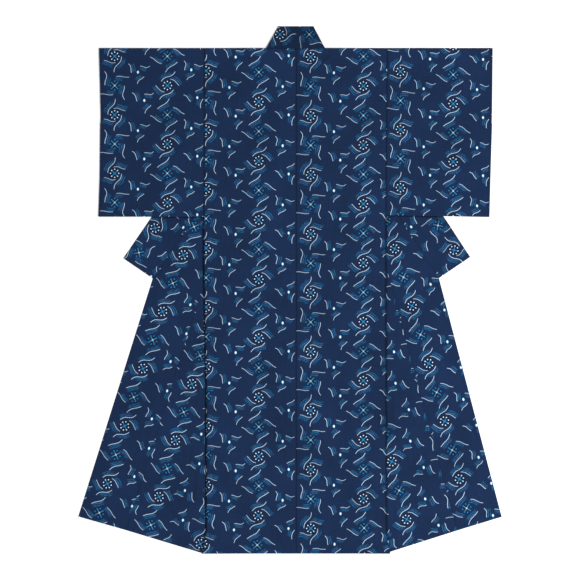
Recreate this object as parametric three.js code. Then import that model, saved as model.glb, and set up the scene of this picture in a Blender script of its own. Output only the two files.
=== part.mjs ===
// A kimono laid flat on a table with its back up, sleeves stretched out to both sides.
// Both fronts are turned outwards under the back, so they show to the left and right of it.
// Sizes are in millimetres. On the table, x runs to the right of the centre back seam and
// "down" runs from the shoulder line towards the hem. "out" is a distance from the centre seam
// to either side. The outer face of the cloth is the one seen when the kimono is worn.
import * as THREE from 'three';

// Cloth
const WALL = 1.2;
const LAYER_GAP = 0.4;
const LAYER_STEP = WALL + LAYER_GAP;
const SEAM_GAP = 0.3;
const CLOTH_COLOUR = '#2b3e64';
const CLOTH_ROUGHNESS = 0.85;

// Lengths down from the shoulder line
const BACK_LENGTH = 1553;
const SLEEVE_LENGTH = 516;
const FOLD_TOP = 95;
const OVERLAP_TOP = 300;
const COLLAR_END = 783;
const HEM_FLARE = 1480;
const SEWN_SIDE_TOP = 530;
const WRIST_OPENING = 230;

// The overlap panel's point is cut off this far below its tip
const OVERLAP_TIP = 14;

// Where each side's edges lie as the kimono is laid. Every value is [out, down].
const SIDES = {
  left: {
    sign: -1,
    neckPoint: [95, 0],
    foldTop: [69, FOLD_TOP],
    overlapTop: [143, 272],
    collarInnerEnd: [441, 707],
    collarOuterEnd: [532, 645],
    overlapSeamHem: [523, 1481],
    frontHemCorner: [670, 1439],
    sleeveBottom: [SLEEVE_LENGTH, SLEEVE_LENGTH],
    collarUnderNeck: [[41, -20], [56, 35]],
    collarFreeEdge: [[79, -20], [102, 12], [152, 68], [245, 226]],
  },
  right: {
    sign: 1,
    neckPoint: [91, 0],
    foldTop: [66, FOLD_TOP],
    overlapTop: [177, 302],
    collarInnerEnd: [439, 706],
    collarOuterEnd: [535, 641],
    overlapSeamHem: [495, 1482],
    frontHemCorner: [632, 1440],
    sleeveBottom: [511, 517],
    collarUnderNeck: [[40, -20], [54, 35]],
    collarFreeEdge: [[76, -20], [99, 12], [154, 68], [265, 226]],
  },
};

// Distance from the centre seam to the armhole and side seam
const SIDE_EDGE = [
  { down: 0, left: 282, right: 280 },
  { down: 290, left: 282, right: 277 },
  { down: SLEEVE_LENGTH, left: 284, right: 275 },
  { down: 700, left: 283, right: 275 },
  { down: 1040, left: 276, right: 276 },
  { down: HEM_FLARE, left: 276, right: 277 },
  { down: BACK_LENGTH, left: 289, right: 288 },
];

// The slanting fold that turns each front outwards under the back
const FRONT_FOLD = [
  { down: FOLD_TOP, left: 69, right: 66 },
  { down: HEM_FLARE, left: 266, right: 254 },
  { down: BACK_LENGTH, left: 285, right: 272 },
];

// The sleeve's outer edge, drawn in a little where the wrist opening is
const SLEEVE_EDGE = [
  { down: 0, left: 606, right: 604 },
  { down: 200, left: 601, right: 602 },
  { down: 400, left: 603, right: 596 },
  { down: SLEEVE_LENGTH, left: 607, right: 593 },
];

// Collar at the back of the neck, folded double along its top edge
const NECK = { height: 67, leftTop: 56, rightTop: 54, leftFoot: 93, rightFoot: 89, turnedUnder: 44 };

// An upper layer stays level this far past the layer below it, then sinks over the next stretch
const SINK_START = 30;
const SINK_WIDTH = 60;

// Steps across and along each piece
const BODY_STEPS_DOWN = [[0, FOLD_TOP, 3], [FOLD_TOP, OVERLAP_TOP, 4], [OVERLAP_TOP, COLLAR_END, 8],
  [COLLAR_END, HEM_FLARE, 10], [HEM_FLARE, BACK_LENGTH, 2]];
const UNDER_BACK_STEPS = 6;
const CENTRE_STEPS = 6;
const FLARED_STEPS = 4;
const OVERLAP_STEPS = 3;
const COLLAR_STEPS = 3;
const SLEEVE_STEPS_ACROSS = 11;
const SLEEVE_STEPS_DOWN = 14;
const NECK_STEPS_ACROSS = 10;
const NECK_STEPS_UP = 4;
const NECK_STEPS_UNDER = 2;
const FOLD_ARC_STEPS = 3;

// Values between two others, for numbers and for [out, down] pairs
const mix = (from, to, part) => from + (to - from) * part;
const between = (from, to, part) => [mix(from[0], to[0], part), mix(from[1], to[1], part)];
const steps = (count) => Array.from({ length: count + 1 }, (_, i) => i / count);

// The value of a table's column at a distance down
function lookUp(table, column, down) {
  const next = Math.max(1, table.findIndex((row) => row.down >= down));
  const above = table[next - 1];
  const below = table[next];
  return mix(above[column], below[column], (down - above.down) / (below.down - above.down));
}

// Every distance down that a body panel has a row of points at
const BODY_ROWS = [0];
for (const [from, to, count] of BODY_STEPS_DOWN) {
  for (const part of steps(count).slice(1)) BODY_ROWS.push(mix(from, to, part));
}

// Inner edge of the front's part that lies straight under the back: neck line, then slanting fold
function underBackEdge(side, down) {
  const { neckPoint, foldTop } = SIDES[side];
  if (down <= FOLD_TOP) return mix(neckPoint[0], foldTop[0], down / FOLD_TOP);
  return lookUp(FRONT_FOLD, side, down);
}

// The seam that joins collar to front and overlap panel, by length down the garment's front
function collarSeam(side, length) {
  const { foldTop, overlapTop, collarInnerEnd } = SIDES[side];
  if (length <= OVERLAP_TOP) {
    return between(foldTop, overlapTop, (length - FOLD_TOP) / (OVERLAP_TOP - FOLD_TOP));
  }
  return between(overlapTop, collarInnerEnd, (length - OVERLAP_TOP) / (COLLAR_END - OVERLAP_TOP));
}

// The seam that joins front and overlap panel
function overlapSeam(side, length) {
  const { overlapTop, overlapSeamHem } = SIDES[side];
  return between(overlapTop, overlapSeamHem, (length - OVERLAP_TOP) / (BACK_LENGTH - OVERLAP_TOP));
}

// The overlap panel's outer edge: collar seam, then the free front edge down to the hem
function overlapEdge(side, length) {
  const { collarInnerEnd, frontHemCorner } = SIDES[side];
  if (length <= COLLAR_END) return collarSeam(side, length);
  return between(collarInnerEnd, frontHemCorner, (length - COLLAR_END) / (BACK_LENGTH - COLLAR_END));
}

// Outline of all that lies directly on the table at one side: front, overlap panel and collar
function tableOutline(side) {
  const place = SIDES[side];
  const fold = FRONT_FOLD.map((row) => [row[side], row.down]);
  const outline = [
    ...place.collarUnderNeck, ...fold, place.overlapSeamHem, place.frontHemCorner,
    place.collarInnerEnd, place.collarOuterEnd, ...place.collarFreeEdge.slice().reverse(),
  ];
  return outline.map(([out, down]) => [place.sign * out, down]);
}

const TURNED_UNDER_OUTLINE = [[-NECK.leftTop, -NECK.height], [NECK.rightTop, -NECK.height],
  [NECK.rightFoot, NECK.turnedUnder - NECK.height], [-NECK.leftFoot, NECK.turnedUnder - NECK.height]];
const TABLE_OUTLINES = [tableOutline('left'), tableOutline('right'), TURNED_UNDER_OUTLINE];

// Distance from a place on the table to an outline, nothing inside it
function distanceOutside(outline, x, down) {
  let nearest = Infinity;
  let inside = false;
  outline.forEach(([ax, ay], i) => {
    const [bx, by] = outline[(i + 1) % outline.length];
    const along = ((x - ax) * (bx - ax) + (down - ay) * (by - ay)) / ((bx - ax) ** 2 + (by - ay) ** 2);
    const part = Math.min(1, Math.max(0, along));
    nearest = Math.min(nearest, Math.hypot(x - mix(ax, bx, part), down - mix(ay, by, part)));
    if ((ay > down) !== (by > down) && x < mix(ax, bx, (down - ay) / (by - ay))) inside = !inside;
  });
  return inside ? 0 : nearest;
}

// How much a layer of cloth still lifts what lies over it, from 1 on it to 0 away from it
const lift = (distance) => 1 - THREE.MathUtils.smoothstep(distance, SINK_START, SINK_START + SINK_WIDTH);

// Height of the underside of the second layer and of the back, at a place on the table
function secondLayer(x, down) {
  return LAYER_STEP * Math.max(...TABLE_OUTLINES.map((outline) => lift(distanceOutside(outline, x, down))));
}

function backLayer(x, down) {
  const side = x < 0 ? 'left' : 'right';
  return secondLayer(x, down) + LAYER_STEP * lift(underBackEdge(side, Math.max(0, down)) - Math.abs(x));
}

// A point in the middle of the cloth, with the direction that its outer face looks in
const UP = new THREE.Vector3(0, 0, 1);
const DOWN = new THREE.Vector3(0, 0, -1);
function station(x, down, underside, face) {
  return { at: new THREE.Vector3(x, -down, underside + WALL / 2), face };
}

// The turn between two layers that lie one over the other, round to the side that bulges
function turn(from, to, bulge) {
  const middle = from.at.clone().add(to.at).multiplyScalar(0.5);
  const start = from.at.clone().sub(middle);
  const radius = start.length();
  start.normalize();
  const facing = Math.sign(from.face.dot(start));
  return steps(FOLD_ARC_STEPS).map((part) => {
    const away = start.clone().multiplyScalar(Math.cos(part * Math.PI));
    away.addScaledVector(bulge, Math.sin(part * Math.PI));
    return { at: away.clone().multiplyScalar(radius).add(middle), face: away.multiplyScalar(facing) };
  });
}

// One closed wall of cloth from grids of stations. Stations at one place are joined.
function clothWall(grids) {
  const stations = [];
  const known = new Map();
  const squares = [];
  const numberOf = (point) => {
    const key = point.at.toArray().map((value) => value.toFixed(3)).join(' ');
    if (!known.has(key)) known.set(key, stations.push(point) - 1);
    return known.get(key);
  };
  for (const grid of grids) {
    const numbers = grid.map((row) => row.map(numberOf));
    for (let r = 1; r < numbers.length; r += 1) {
      for (let c = 1; c < numbers[r].length; c += 1) {
        // Corners are turned round, not shuffled, so that stacked layers keep the same diagonals
        const corners = [numbers[r - 1][c - 1], numbers[r - 1][c], numbers[r][c], numbers[r][c - 1]];
        const [first, second, third, fourth] = corners;
        const out = facesOut(corners.map((i) => stations[i]));
        squares.push(out ? corners : [first, fourth, third, second]);
      }
    }
  }
  const position = [];
  const triangles = [];
  for (const side of [1, -1]) {
    for (const { at, face } of stations) {
      position.push(...at.clone().addScaledVector(face, (side * WALL) / 2).toArray());
    }
  }
  const inner = stations.length;
  const edges = new Map();
  for (const [a, b, c, d] of squares) {
    triangles.push(a, b, c, a, c, d, inner + a, inner + c, inner + b, inner + a, inner + d, inner + c);
    for (const [from, to] of [[a, b], [b, c], [c, d], [d, a]]) edges.set(`${from} ${to}`, [from, to]);
  }
  for (const [from, to] of edges.values()) {
    if (!edges.has(`${to} ${from}`)) {
      triangles.push(to, from, inner + from, to, inner + from, inner + to);
    }
  }
  const geometry = new THREE.BufferGeometry();
  geometry.setAttribute('position', new THREE.Float32BufferAttribute(position, 3));
  geometry.setIndex(triangles);
  geometry.computeVertexNormals();
  return geometry;
}

// Whether a square's corners run anticlockwise as seen from the cloth's outer face
function facesOut(corners) {
  const across = corners[2].at.clone().sub(corners[0].at);
  const normal = across.cross(corners[3].at.clone().sub(corners[1].at));
  const face = new THREE.Vector3();
  for (const corner of corners) face.add(corner.face);
  return normal.dot(face) > 0;
}

// Places of a line of [out, down] points moved sideways, outwards where the distance is positive
function shifted(line, distance) {
  return line.map(([out, down], i) => {
    const [aOut, aDown] = line[Math.max(0, i - 1)];
    const [bOut, bDown] = line[Math.min(line.length - 1, i + 1)];
    const length = Math.hypot(bOut - aOut, bDown - aDown);
    return [out + (distance * (bDown - aDown)) / length, down - (distance * (bOut - aOut)) / length];
  });
}

// A flat grid on the table between two lines with as many points
function tableGrid(side, innerLine, outerLine, count) {
  const { sign } = SIDES[side];
  return innerLine.map((inner, i) => steps(count).map((part) => {
    const [out, down] = between(inner, outerLine[i], part);
    return station(sign * out, down, 0, UP);
  }));
}

const TOWARDS_COLLAR = new THREE.Vector3(0, 1, 0);
const TOWARDS_HEM = new THREE.Vector3(0, -1, 0);
const outwards = (side) => new THREE.Vector3(SIDES[side].sign, 0, 0);

// Body panel: the back, over the shoulder, down under the back, and turned out at the fold
function bodyPanel(side) {
  const { sign } = SIDES[side];
  const back = [];
  const front = [];
  for (const down of BODY_ROWS) {
    const inner = underBackEdge(side, down);
    const covered = steps(UNDER_BACK_STEPS).map((part) => mix(lookUp(SIDE_EDGE, side, down), inner, part));
    const bare = steps(CENTRE_STEPS).slice(1).map((part) => mix(inner, SEAM_GAP / 2, part));
    const place = (out, layer, face) => station(sign * out, down, layer(sign * out, down), face);
    back.push([...covered, ...bare].map((out) => place(out, backLayer, UP)));
    front.push(covered.map((out) => place(out, secondLayer, DOWN)));
  }
  const shoulder = front[0].map((point, c) => turn(back[0][c], point, TOWARDS_COLLAR));

  const sewn = BODY_ROWS.map((down, r) => r).filter((r) => BODY_ROWS[r] >= SEWN_SIDE_TOP);
  const sideSeam = sewn.map((r) => turn(back[r][0], front[r][0], outwards(side)));

  const turned = BODY_ROWS.map((down, r) => r).filter((r) => BODY_ROWS[r] > FOLD_TOP);
  const seam = turned.map((r) => {
    const length = BODY_ROWS[r];
    return length <= OVERLAP_TOP ? collarSeam(side, length) : overlapSeam(side, length);
  });
  const foldLine = turned.map((r) => [underBackEdge(side, BODY_ROWS[r]), BODY_ROWS[r]]);
  const flared = tableGrid(side, foldLine, shifted(seam, -SEAM_GAP / 2), FLARED_STEPS);
  const [top, bottom] = FRONT_FOLD;
  const inwards = new THREE.Vector3(-sign * (bottom.down - top.down), top[side] - bottom[side], 0);
  inwards.normalize();
  const fold = turned.map((r, i) => turn(front[r][UNDER_BACK_STEPS], flared[i][0], inwards));
  return clothWall([back, shoulder, front, sideSeam, fold, flared]);
}

// Overlap panel: from its point under the sleeve down to the hem, with the free front edge outside
function overlapPanel(side) {
  const lengths = [OVERLAP_TOP + OVERLAP_TIP, ...BODY_ROWS.filter((down) => down > OVERLAP_TOP)];
  const inner = shifted(lengths.map((length) => overlapSeam(side, length)), SEAM_GAP / 2);
  const outer = shifted(lengths.map((length) => overlapEdge(side, length)), -SEAM_GAP / 2);
  return clothWall([tableGrid(side, inner, outer, OVERLAP_STEPS)]);
}

// Lower part of the collar: from under the neck down the front, opened out to its full width
function collarLength(side) {
  const { collarUnderNeck, collarFreeEdge, collarOuterEnd } = SIDES[side];
  const [free, underNeck, atFold, atOverlap] = collarFreeEdge;
  const lengths = BODY_ROWS.filter((down) => down >= FOLD_TOP && down <= COLLAR_END);
  const seam = [...collarUnderNeck, ...lengths.map((length) => collarSeam(side, length))];
  const edge = [free, underNeck, ...lengths.map((length) => {
    if (length <= OVERLAP_TOP) {
      return between(atFold, atOverlap, (length - FOLD_TOP) / (OVERLAP_TOP - FOLD_TOP));
    }
    return between(atOverlap, collarOuterEnd, (length - OVERLAP_TOP) / (COLLAR_END - OVERLAP_TOP));
  })];
  return clothWall([tableGrid(side, shifted(seam, SEAM_GAP / 2), edge, COLLAR_STEPS)]);
}

// Collar at the back of the neck: a trapezium folded double along its top edge
function collarNeck() {
  const { height, leftTop, rightTop, leftFoot, rightFoot, turnedUnder } = NECK;
  const row = (part) => {
    const acrossAt = (up) => {
      const left = -mix(leftFoot, leftTop, up / height);
      return mix(left, mix(rightFoot, rightTop, up / height), part);
    };
    const seen = steps(NECK_STEPS_UP).map((rise) => {
      const up = mix(SEAM_GAP, height, rise);
      const x = acrossAt(up);
      const underside = mix(backLayer(x, 0), LAYER_STEP, THREE.MathUtils.smoothstep(rise, 0, 1));
      return station(x, -up, underside, UP);
    });
    const under = steps(NECK_STEPS_UNDER).map((fall) => {
      const up = height - turnedUnder * fall;
      return station(acrossAt(up), -up, 0, DOWN);
    });
    return [...seen, ...turn(seen[NECK_STEPS_UP], under[0], TOWARDS_COLLAR).slice(1, -1), ...under];
  };
  return clothWall([steps(NECK_STEPS_ACROSS).map(row)]);
}

// Sleeve: two layers joined by the fold at the shoulder line, along the bottom and at the outer
// edge below the wrist opening
function sleeve(side) {
  const { sign, sleeveBottom } = SIDES[side];
  const layer = (rise, face) => steps(SLEEVE_STEPS_DOWN).map((fall) => (
    steps(SLEEVE_STEPS_ACROSS).map((part) => {
      const down = fall * mix(sleeveBottom[0], sleeveBottom[1], part);
      const inner = lookUp(SIDE_EDGE, side, down) + SEAM_GAP;
      const x = sign * mix(inner, lookUp(SLEEVE_EDGE, side, Math.min(down, SLEEVE_LENGTH)), part);
      return station(x, down, secondLayer(x, down) + rise, face);
    })
  ));
  const back = layer(LAYER_STEP, UP);
  const front = layer(0, DOWN);
  const rim = (r, bulge) => back[r].map((point, c) => turn(point, front[r][c], bulge));
  const downAt = (r) => (r / SLEEVE_STEPS_DOWN) * sleeveBottom[1];
  const closed = back.map((row, r) => r).filter((r) => downAt(r) >= WRIST_OPENING);
  const last = SLEEVE_STEPS_ACROSS;
  const outerEdge = closed.map((r) => turn(back[r][last], front[r][last], outwards(side)));
  return clothWall([back, rim(0, TOWARDS_COLLAR), front, rim(SLEEVE_STEPS_DOWN, TOWARDS_HEM), outerEdge]);
}

function named(name, geometry) {
  const cloth = new THREE.MeshStandardMaterial({
    color: CLOTH_COLOUR, roughness: CLOTH_ROUGHNESS, metalness: 0, side: THREE.DoubleSide,
  });
  const mesh = new THREE.Mesh(geometry, cloth);
  mesh.name = name;
  return mesh;
}

const kimono = new THREE.Group();
for (const side of ['left', 'right']) {
  kimono.add(named(`body_${side}`, bodyPanel(side)));
  kimono.add(named(`okumi_${side}`, overlapPanel(side)));
  kimono.add(named(`sleeve_${side}`, sleeve(side)));
  kimono.add(named(`collar_${side}`, collarLength(side)));
}
kimono.add(named('collar_neck', collarNeck()));

// The origin is at the middle of the whole, on the table
const middle = new THREE.Box3().setFromObject(kimono).getCenter(new THREE.Vector3());
kimono.position.set(-middle.x, -middle.y, 0);

export default kimono;
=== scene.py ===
# A cotton kasuri kimono laid flat with its back up, sleeves stretched out to both sides and both
# fronts turned outwards under the back. Lengths on the garment are in millimetres: x runs right
# from the centre back seam, "down" runs from the shoulder line towards the hem, and z is the
# height over the table. "out" is a distance from the centre seam to either side. The cloth's own
# map holds metres of cloth, across the bolt and along it.
import math

import bpy
import numpy as np
from bpy.props import FloatProperty, FloatVectorProperty, IntProperty, PointerProperty
from bpy.types import Operator, Panel, PropertyGroup
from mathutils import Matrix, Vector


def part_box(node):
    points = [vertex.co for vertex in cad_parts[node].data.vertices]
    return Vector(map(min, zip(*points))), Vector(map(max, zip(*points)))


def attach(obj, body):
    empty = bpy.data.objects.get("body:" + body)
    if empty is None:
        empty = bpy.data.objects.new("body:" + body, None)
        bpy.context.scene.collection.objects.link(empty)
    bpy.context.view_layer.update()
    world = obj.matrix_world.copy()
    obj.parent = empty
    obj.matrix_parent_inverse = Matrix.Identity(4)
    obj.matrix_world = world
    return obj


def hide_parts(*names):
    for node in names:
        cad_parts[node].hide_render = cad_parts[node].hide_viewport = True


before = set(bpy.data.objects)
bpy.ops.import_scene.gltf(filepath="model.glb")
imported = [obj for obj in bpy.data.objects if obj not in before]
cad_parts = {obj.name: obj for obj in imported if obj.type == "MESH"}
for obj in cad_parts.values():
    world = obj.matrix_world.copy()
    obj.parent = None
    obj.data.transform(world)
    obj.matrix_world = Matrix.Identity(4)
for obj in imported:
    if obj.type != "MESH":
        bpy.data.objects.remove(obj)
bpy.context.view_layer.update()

bl_info = {
    "name": "Kasuri kimono",
    "version": (1, 0, 0),
    "blender": (4, 5, 0),
    "location": "3D View > Sidebar > Kimono",
    "description": "Makes a cotton kasuri kimono laid flat, piece by piece",
    "category": "Object",
}

MM = 0.001
CLOTH_MAP = "cloth"

# Layers of cloth and the seams between pieces
LAYER_STEP = 1.6
FOLD_BULGE = 1.21

# How much painted shade each seam gets, from 0 to 1, in place of the shade that falls in it. On
# the panel seams, those on the table, the same value also sets how deep the cloth is drawn in;
# they are pressed flat. At the hem the side seam's painted shade is weaker by the share below.
# "pressed" is the painted shade along a sleeve's pressed line and over the seen neck collar.
SEAM_DEPTH_AND_PAINTED_SHADE = {"side": 1.0, "armhole": 0.75, "centre": 0.5, "panel": 0.2, "neck": 0.55, "pressed": 0.4}
HEM_SHADE_FADE = 0.6

# Cloth past the edge of a layer above it gets a painted shadow that fades out over its first
# 7 mm. Cloth further than this from such an edge is counted as lying in the open. At the hem the
# painted shadow is fainter, as if that edge were further away by the length below.
OPEN_GROUND = 60
HEM_SHADOW_FADE = 3

# What each place on the cloth tells its material, all of it painted shade: "seam" is how much
# painted shade a seam or pressed crease puts on it, and "tucked" how far it lies past the edge of
# the layer above, which sets a painted shadow.
PAINTED_SHADES = ("seam", "tucked")

# Lengths down from the shoulder line
BACK_LENGTH = 1553
SLEEVE_LENGTH = 516
FOLD_TOP = 95
OVERLAP_TOP = 300
OVERLAP_TIP = 14
COLLAR_END = 783
HEM_FLARE = 1480
WIDENING = (1340, 1593)
SEWN_SIDE_TOP = 530
WRIST_OPENING = 230

# Where each side's edges lie as the kimono is laid. Every value is (out, down).
SIDES = {
    "left": {
        "sign": -1,
        "neck_point": (95, 0),
        "fold_top": (69, FOLD_TOP),
        "overlap_top": (143, 272),
        "collar_inner_end": (441, 707),
        "collar_outer_end": (532, 645),
        "overlap_seam_hem": (523, 1481),
        "front_hem_corner": (670, 1439),
        "sleeve_bottom": (SLEEVE_LENGTH, SLEEVE_LENGTH),
        "collar_under_neck": [(41, -20), (56, 35)],
        "collar_free_edge": [(79, -20), (102, 12), (152, 68), (245, 226)],
    },
    "right": {
        "sign": 1,
        "neck_point": (91, 0),
        "fold_top": (66, FOLD_TOP),
        "overlap_top": (177, 302),
        "collar_inner_end": (439, 706),
        "collar_outer_end": (535, 641),
        "overlap_seam_hem": (495, 1482),
        "front_hem_corner": (632, 1440),
        "sleeve_bottom": (511, 517),
        "collar_under_neck": [(40, -20), (54, 35)],
        "collar_free_edge": [(76, -20), (99, 12), (154, 68), (265, 226)],
    },
}

# Distance from the centre seam to the armhole and side seam
SIDE_EDGE = {
    "down": (0, 290, SLEEVE_LENGTH, 700, 1040, HEM_FLARE, BACK_LENGTH),
    "left": (282, 282, 284, 283, 276, 276, 289),
    "right": (280, 277, 275, 275, 276, 277, 288),
}

# The slanting fold that turns each front outwards under the back
FRONT_FOLD = {
    "down": (FOLD_TOP, HEM_FLARE, BACK_LENGTH),
    "left": (69, 266, 285),
    "right": (66, 254, 272),
}

# The sleeve's outer edge, drawn in a little where the wrist opening is
SLEEVE_EDGE = {
    "down": (0, 200, 400, SLEEVE_LENGTH),
    "left": (606, 601, 603, 607),
    "right": (604, 602, 596, 593),
}

# Collar at the back of the neck, folded double along its top edge
NECK = {
    "height": 67, "left_top": 56, "right_top": 54, "left_foot": 93, "right_foot": 89,
    "turned_under": 44,
}

# An upper layer stays level this far past the layer below it, then sinks over the next stretch
SINK_START = 30
SINK_WIDTH = 60

# Soft creases that show, and their like on the layers underneath. Each lifts its own layer and
# all that lies over it. Layer 1 is on the table, 2 is turned under, 3 is the back. "pressed" is
# how much painted shade a sharp crease puts along its line.
CREASES = [
    {
        "layer": 3, "start": (114, 12), "end": (72, 44), "width": 8, "height": 1.3, "bow": 3,
        "pressed": 0.5,
    },
    {
        "layer": 3, "start": (-84, 2), "end": (-52, 9), "width": 6, "height": 0.8, "bow": 2,
        "pressed": 0.45,
    },
    {
        "layer": 3, "start": (50, 8), "end": (80, 1), "width": 6, "height": 0.8, "bow": -2,
        "pressed": 0.45,
    },
    {"layer": 3, "start": (-262, 1270), "end": (-236, 1412), "width": 9, "height": 1.1, "bow": 6},
    {"layer": 3, "start": (-268, 1180), "end": (-262, 1340), "width": 8, "height": 1.0, "bow": -4},
    {"layer": 3, "start": (262, 380), "end": (250, 610), "width": 10, "height": 0.9, "bow": 5},
    {"layer": 3, "start": (236, 1250), "end": (252, 1490), "width": 12, "height": 0.9, "bow": -6},
    {"layer": 3, "start": (-120, 1300), "end": (-138, 1530), "width": 16, "height": 0.8, "bow": 8},
    {"layer": 3, "start": (96, 1380), "end": (82, 1540), "width": 15, "height": 0.8, "bow": -7},
    {"layer": 3, "start": (-420, 330), "end": (-300, 470), "width": 15, "height": 0.8, "bow": 9},
    {"layer": 3, "start": (330, 120), "end": (296, 300), "width": 11, "height": 0.8, "bow": -5},
    {"layer": 3, "start": (520, 60), "end": (470, 210), "width": 14, "height": 0.7, "bow": 8},
    {"layer": 3, "start": (-560, 60), "end": (-500, 190), "width": 14, "height": 0.7, "bow": -6},
    {"layer": 2, "start": (-180, 420), "end": (-214, 690), "width": 14, "height": 0.7, "bow": 8},
    {"layer": 2, "start": (170, 520), "end": (214, 860), "width": 15, "height": 0.7, "bow": -9},
    {"layer": 2, "start": (-470, 90), "end": (-380, 260), "width": 14, "height": 0.6, "bow": 7},
    {"layer": 2, "start": (420, 300), "end": (500, 430), "width": 13, "height": 0.6, "bow": 6},
    {
        "layer": 1, "start": (-294, 734), "end": (-328, 850), "width": 8, "height": 0.9, "bow": 2,
        "pressed": 0.3,
    },
    {
        "layer": 1, "start": (-306, 1290), "end": (-318, 1420), "width": 8, "height": 1.0, "bow": 3,
        "pressed": 0.4,
    },
    {"layer": 1, "start": (-322, 1310), "end": (-344, 1408), "width": 6, "height": 0.8, "bow": -3},
    {
        "layer": 1, "start": (298, 1040), "end": (302, 1170), "width": 8, "height": 1.0, "bow": -2,
        "pressed": 0.4,
    },
    {
        "layer": 1, "start": (300, 1380), "end": (306, 1530), "width": 9, "height": 1.1, "bow": 3,
        "pressed": 0.4,
    },
    {"layer": 1, "start": (322, 1420), "end": (336, 1515), "width": 7, "height": 0.7, "bow": 3},
    {"layer": 1, "start": (-470, 1180), "end": (-520, 1330), "width": 12, "height": 0.6, "bow": 8},
    {"layer": 1, "start": (452, 1120), "end": (500, 1290), "width": 12, "height": 0.6, "bow": -7},
]

# Broad swells of the upper layers: millimetres from crest to crest across and down
SWELLS = [
    {"across": 310, "down": 540, "phase": 0.6, "height": 0.5},
    {"across": -190, "down": 420, "phase": 2.1, "height": 0.35},
    {"across": 900, "down": 130, "phase": 4.0, "height": 0.2},
]

# How the bolt lies on each piece: a motif of the chart that shows at a place on the table, how
# far the cloth is turned clockwise, and whether its reverse shows. slant is the rise of a weft
# thread, stretch and bow the cloth's length and sideways curve, in mm over each metre squared.
# "flare" is how much the piece widens down to the hem, over the stretch WIDENING.
LAID = {
    "sleeve_left": {"motif": "A1", "at": (-558, 24), "turn": 0, "slant": 0.0, "stretch": 0.995},
    "back_left": {
        "motif": "A1", "at": (-277, 68.6), "turn": 0,
        "slant": 0.027, "stretch": 1.005, "flare": 0.05,
    },
    "back_right": {
        "motif": "A1", "at": (44.5, 26.2), "turn": 0,
        "slant": -0.008, "stretch": 1.002, "flare": 0.02,
    },
    "sleeve_right": {"motif": "A1", "at": (320.5, 71), "turn": 0, "slant": 0.06, "stretch": 0.988},
    "front_left": {"motif": "A2", "at": (-320.7, 1031), "turn": 196.2, "slant": 0.08},
    "front_right": {
        "motif": "A2", "at": (294, 1270), "turn": 165.6,
        "slant": 0.0, "stretch": 1.015,
    },
    "okumi_left": {
        "motif": "A2", "at": (-471, 984), "turn": 18.35,
        "slant": 0.035, "stretch": 1.025, "bow": 55,
    },
    "okumi_right": {
        "motif": "B2", "at": (432, 1057), "turn": -15.3,
        "slant": 0.0, "stretch": 1.018, "bow": -38,
    },
    "collar_left": {"motif": "A1", "at": (-434, 552), "turn": 213.3, "slant": 0.0, "reverse": True},
    "collar_right": {"motif": "B1", "at": (436, 544), "turn": -33.1, "slant": 0.0, "reverse": True},
    "collar_neck": {"motif": "A1", "at": (-50, -43), "turn": -90, "slant": 0.0, "reverse": True},
}

# The chart of the repeat. A repeat is two rosette columns wide and two rows long. "column" and
# "row" count those, and "beside" is a further shift in millimetres, right and down.
MOTIFS = {
    "A1": {"column": 0, "row": 0, "beside": (0, 0), "kind": "dotted"},
    "B2": {"column": 1, "row": 0, "beside": (0, 0), "kind": "crossed"},
    "B1": {"column": 0, "row": 1, "beside": (0, 0), "kind": "crossed"},
    "A2": {"column": 1, "row": 1, "beside": (0, 0), "kind": "dotted"},
    "C1": {"column": 0, "row": 0, "beside": (71.5, 49), "kind": "drop"},
    "C2": {"column": 0, "row": 1, "beside": (91, 46), "kind": "drop"},
    "C3": {"column": 1, "row": 0, "beside": (73.5, 42), "kind": "drop"},
    "C4": {"column": 1, "row": 1, "beside": (92, 37.5), "kind": "drop"},
}

# Half widths of a drop. The sizes of both rosettes: radius of the ring of dots, radius of a dot,
# half width of the cross's arms and how far they reach. All are in millimetres. "threads" says
# which thread each form shows and how much of the ground it covers.
DROP = (3.5, 4.8)
ROSETTES = {
    "dotted": {
        "sizes": {"Ring": 12.6, "Dot": 1.75, "Arm": 1.5, "Reach": 10, "Heart": 3.4},
        "threads": {
            "Disc": ("deep", 0.8), "Cross": ("clear", 0.95), "Heart": ("light", 0.15),
            "Dots": ("bright", 0.9),
        },
    },
    "crossed": {
        "sizes": {"Ring": 13, "Dot": 2.4, "Arm": 0.9, "Reach": 10.2, "Heart": 2.9},
        "threads": {
            "Disc": ("deep", 0.45), "Cross": ("light", 0.75), "Heart": ("bright", 0.6),
            "Dots": ("clear", 0.95),
        },
    },
}

# A bundle is one pale line with blue strands along one side of it. Strands are numbered away
# from the line, "pitch" millimetres apart. "span" is their length as a share of the line's,
# "shift" and "lead" say how far on they all start and how much further each next one does, and
# "share" is how much of the line is left undyed.
STRANDS = {
    "wave": 0, "arc": 0, "first": 1, "last": 2, "pitch": 5.8, "span": 0.7, "shift": 0, "lead": 0,
    "share": 1,
}

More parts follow.
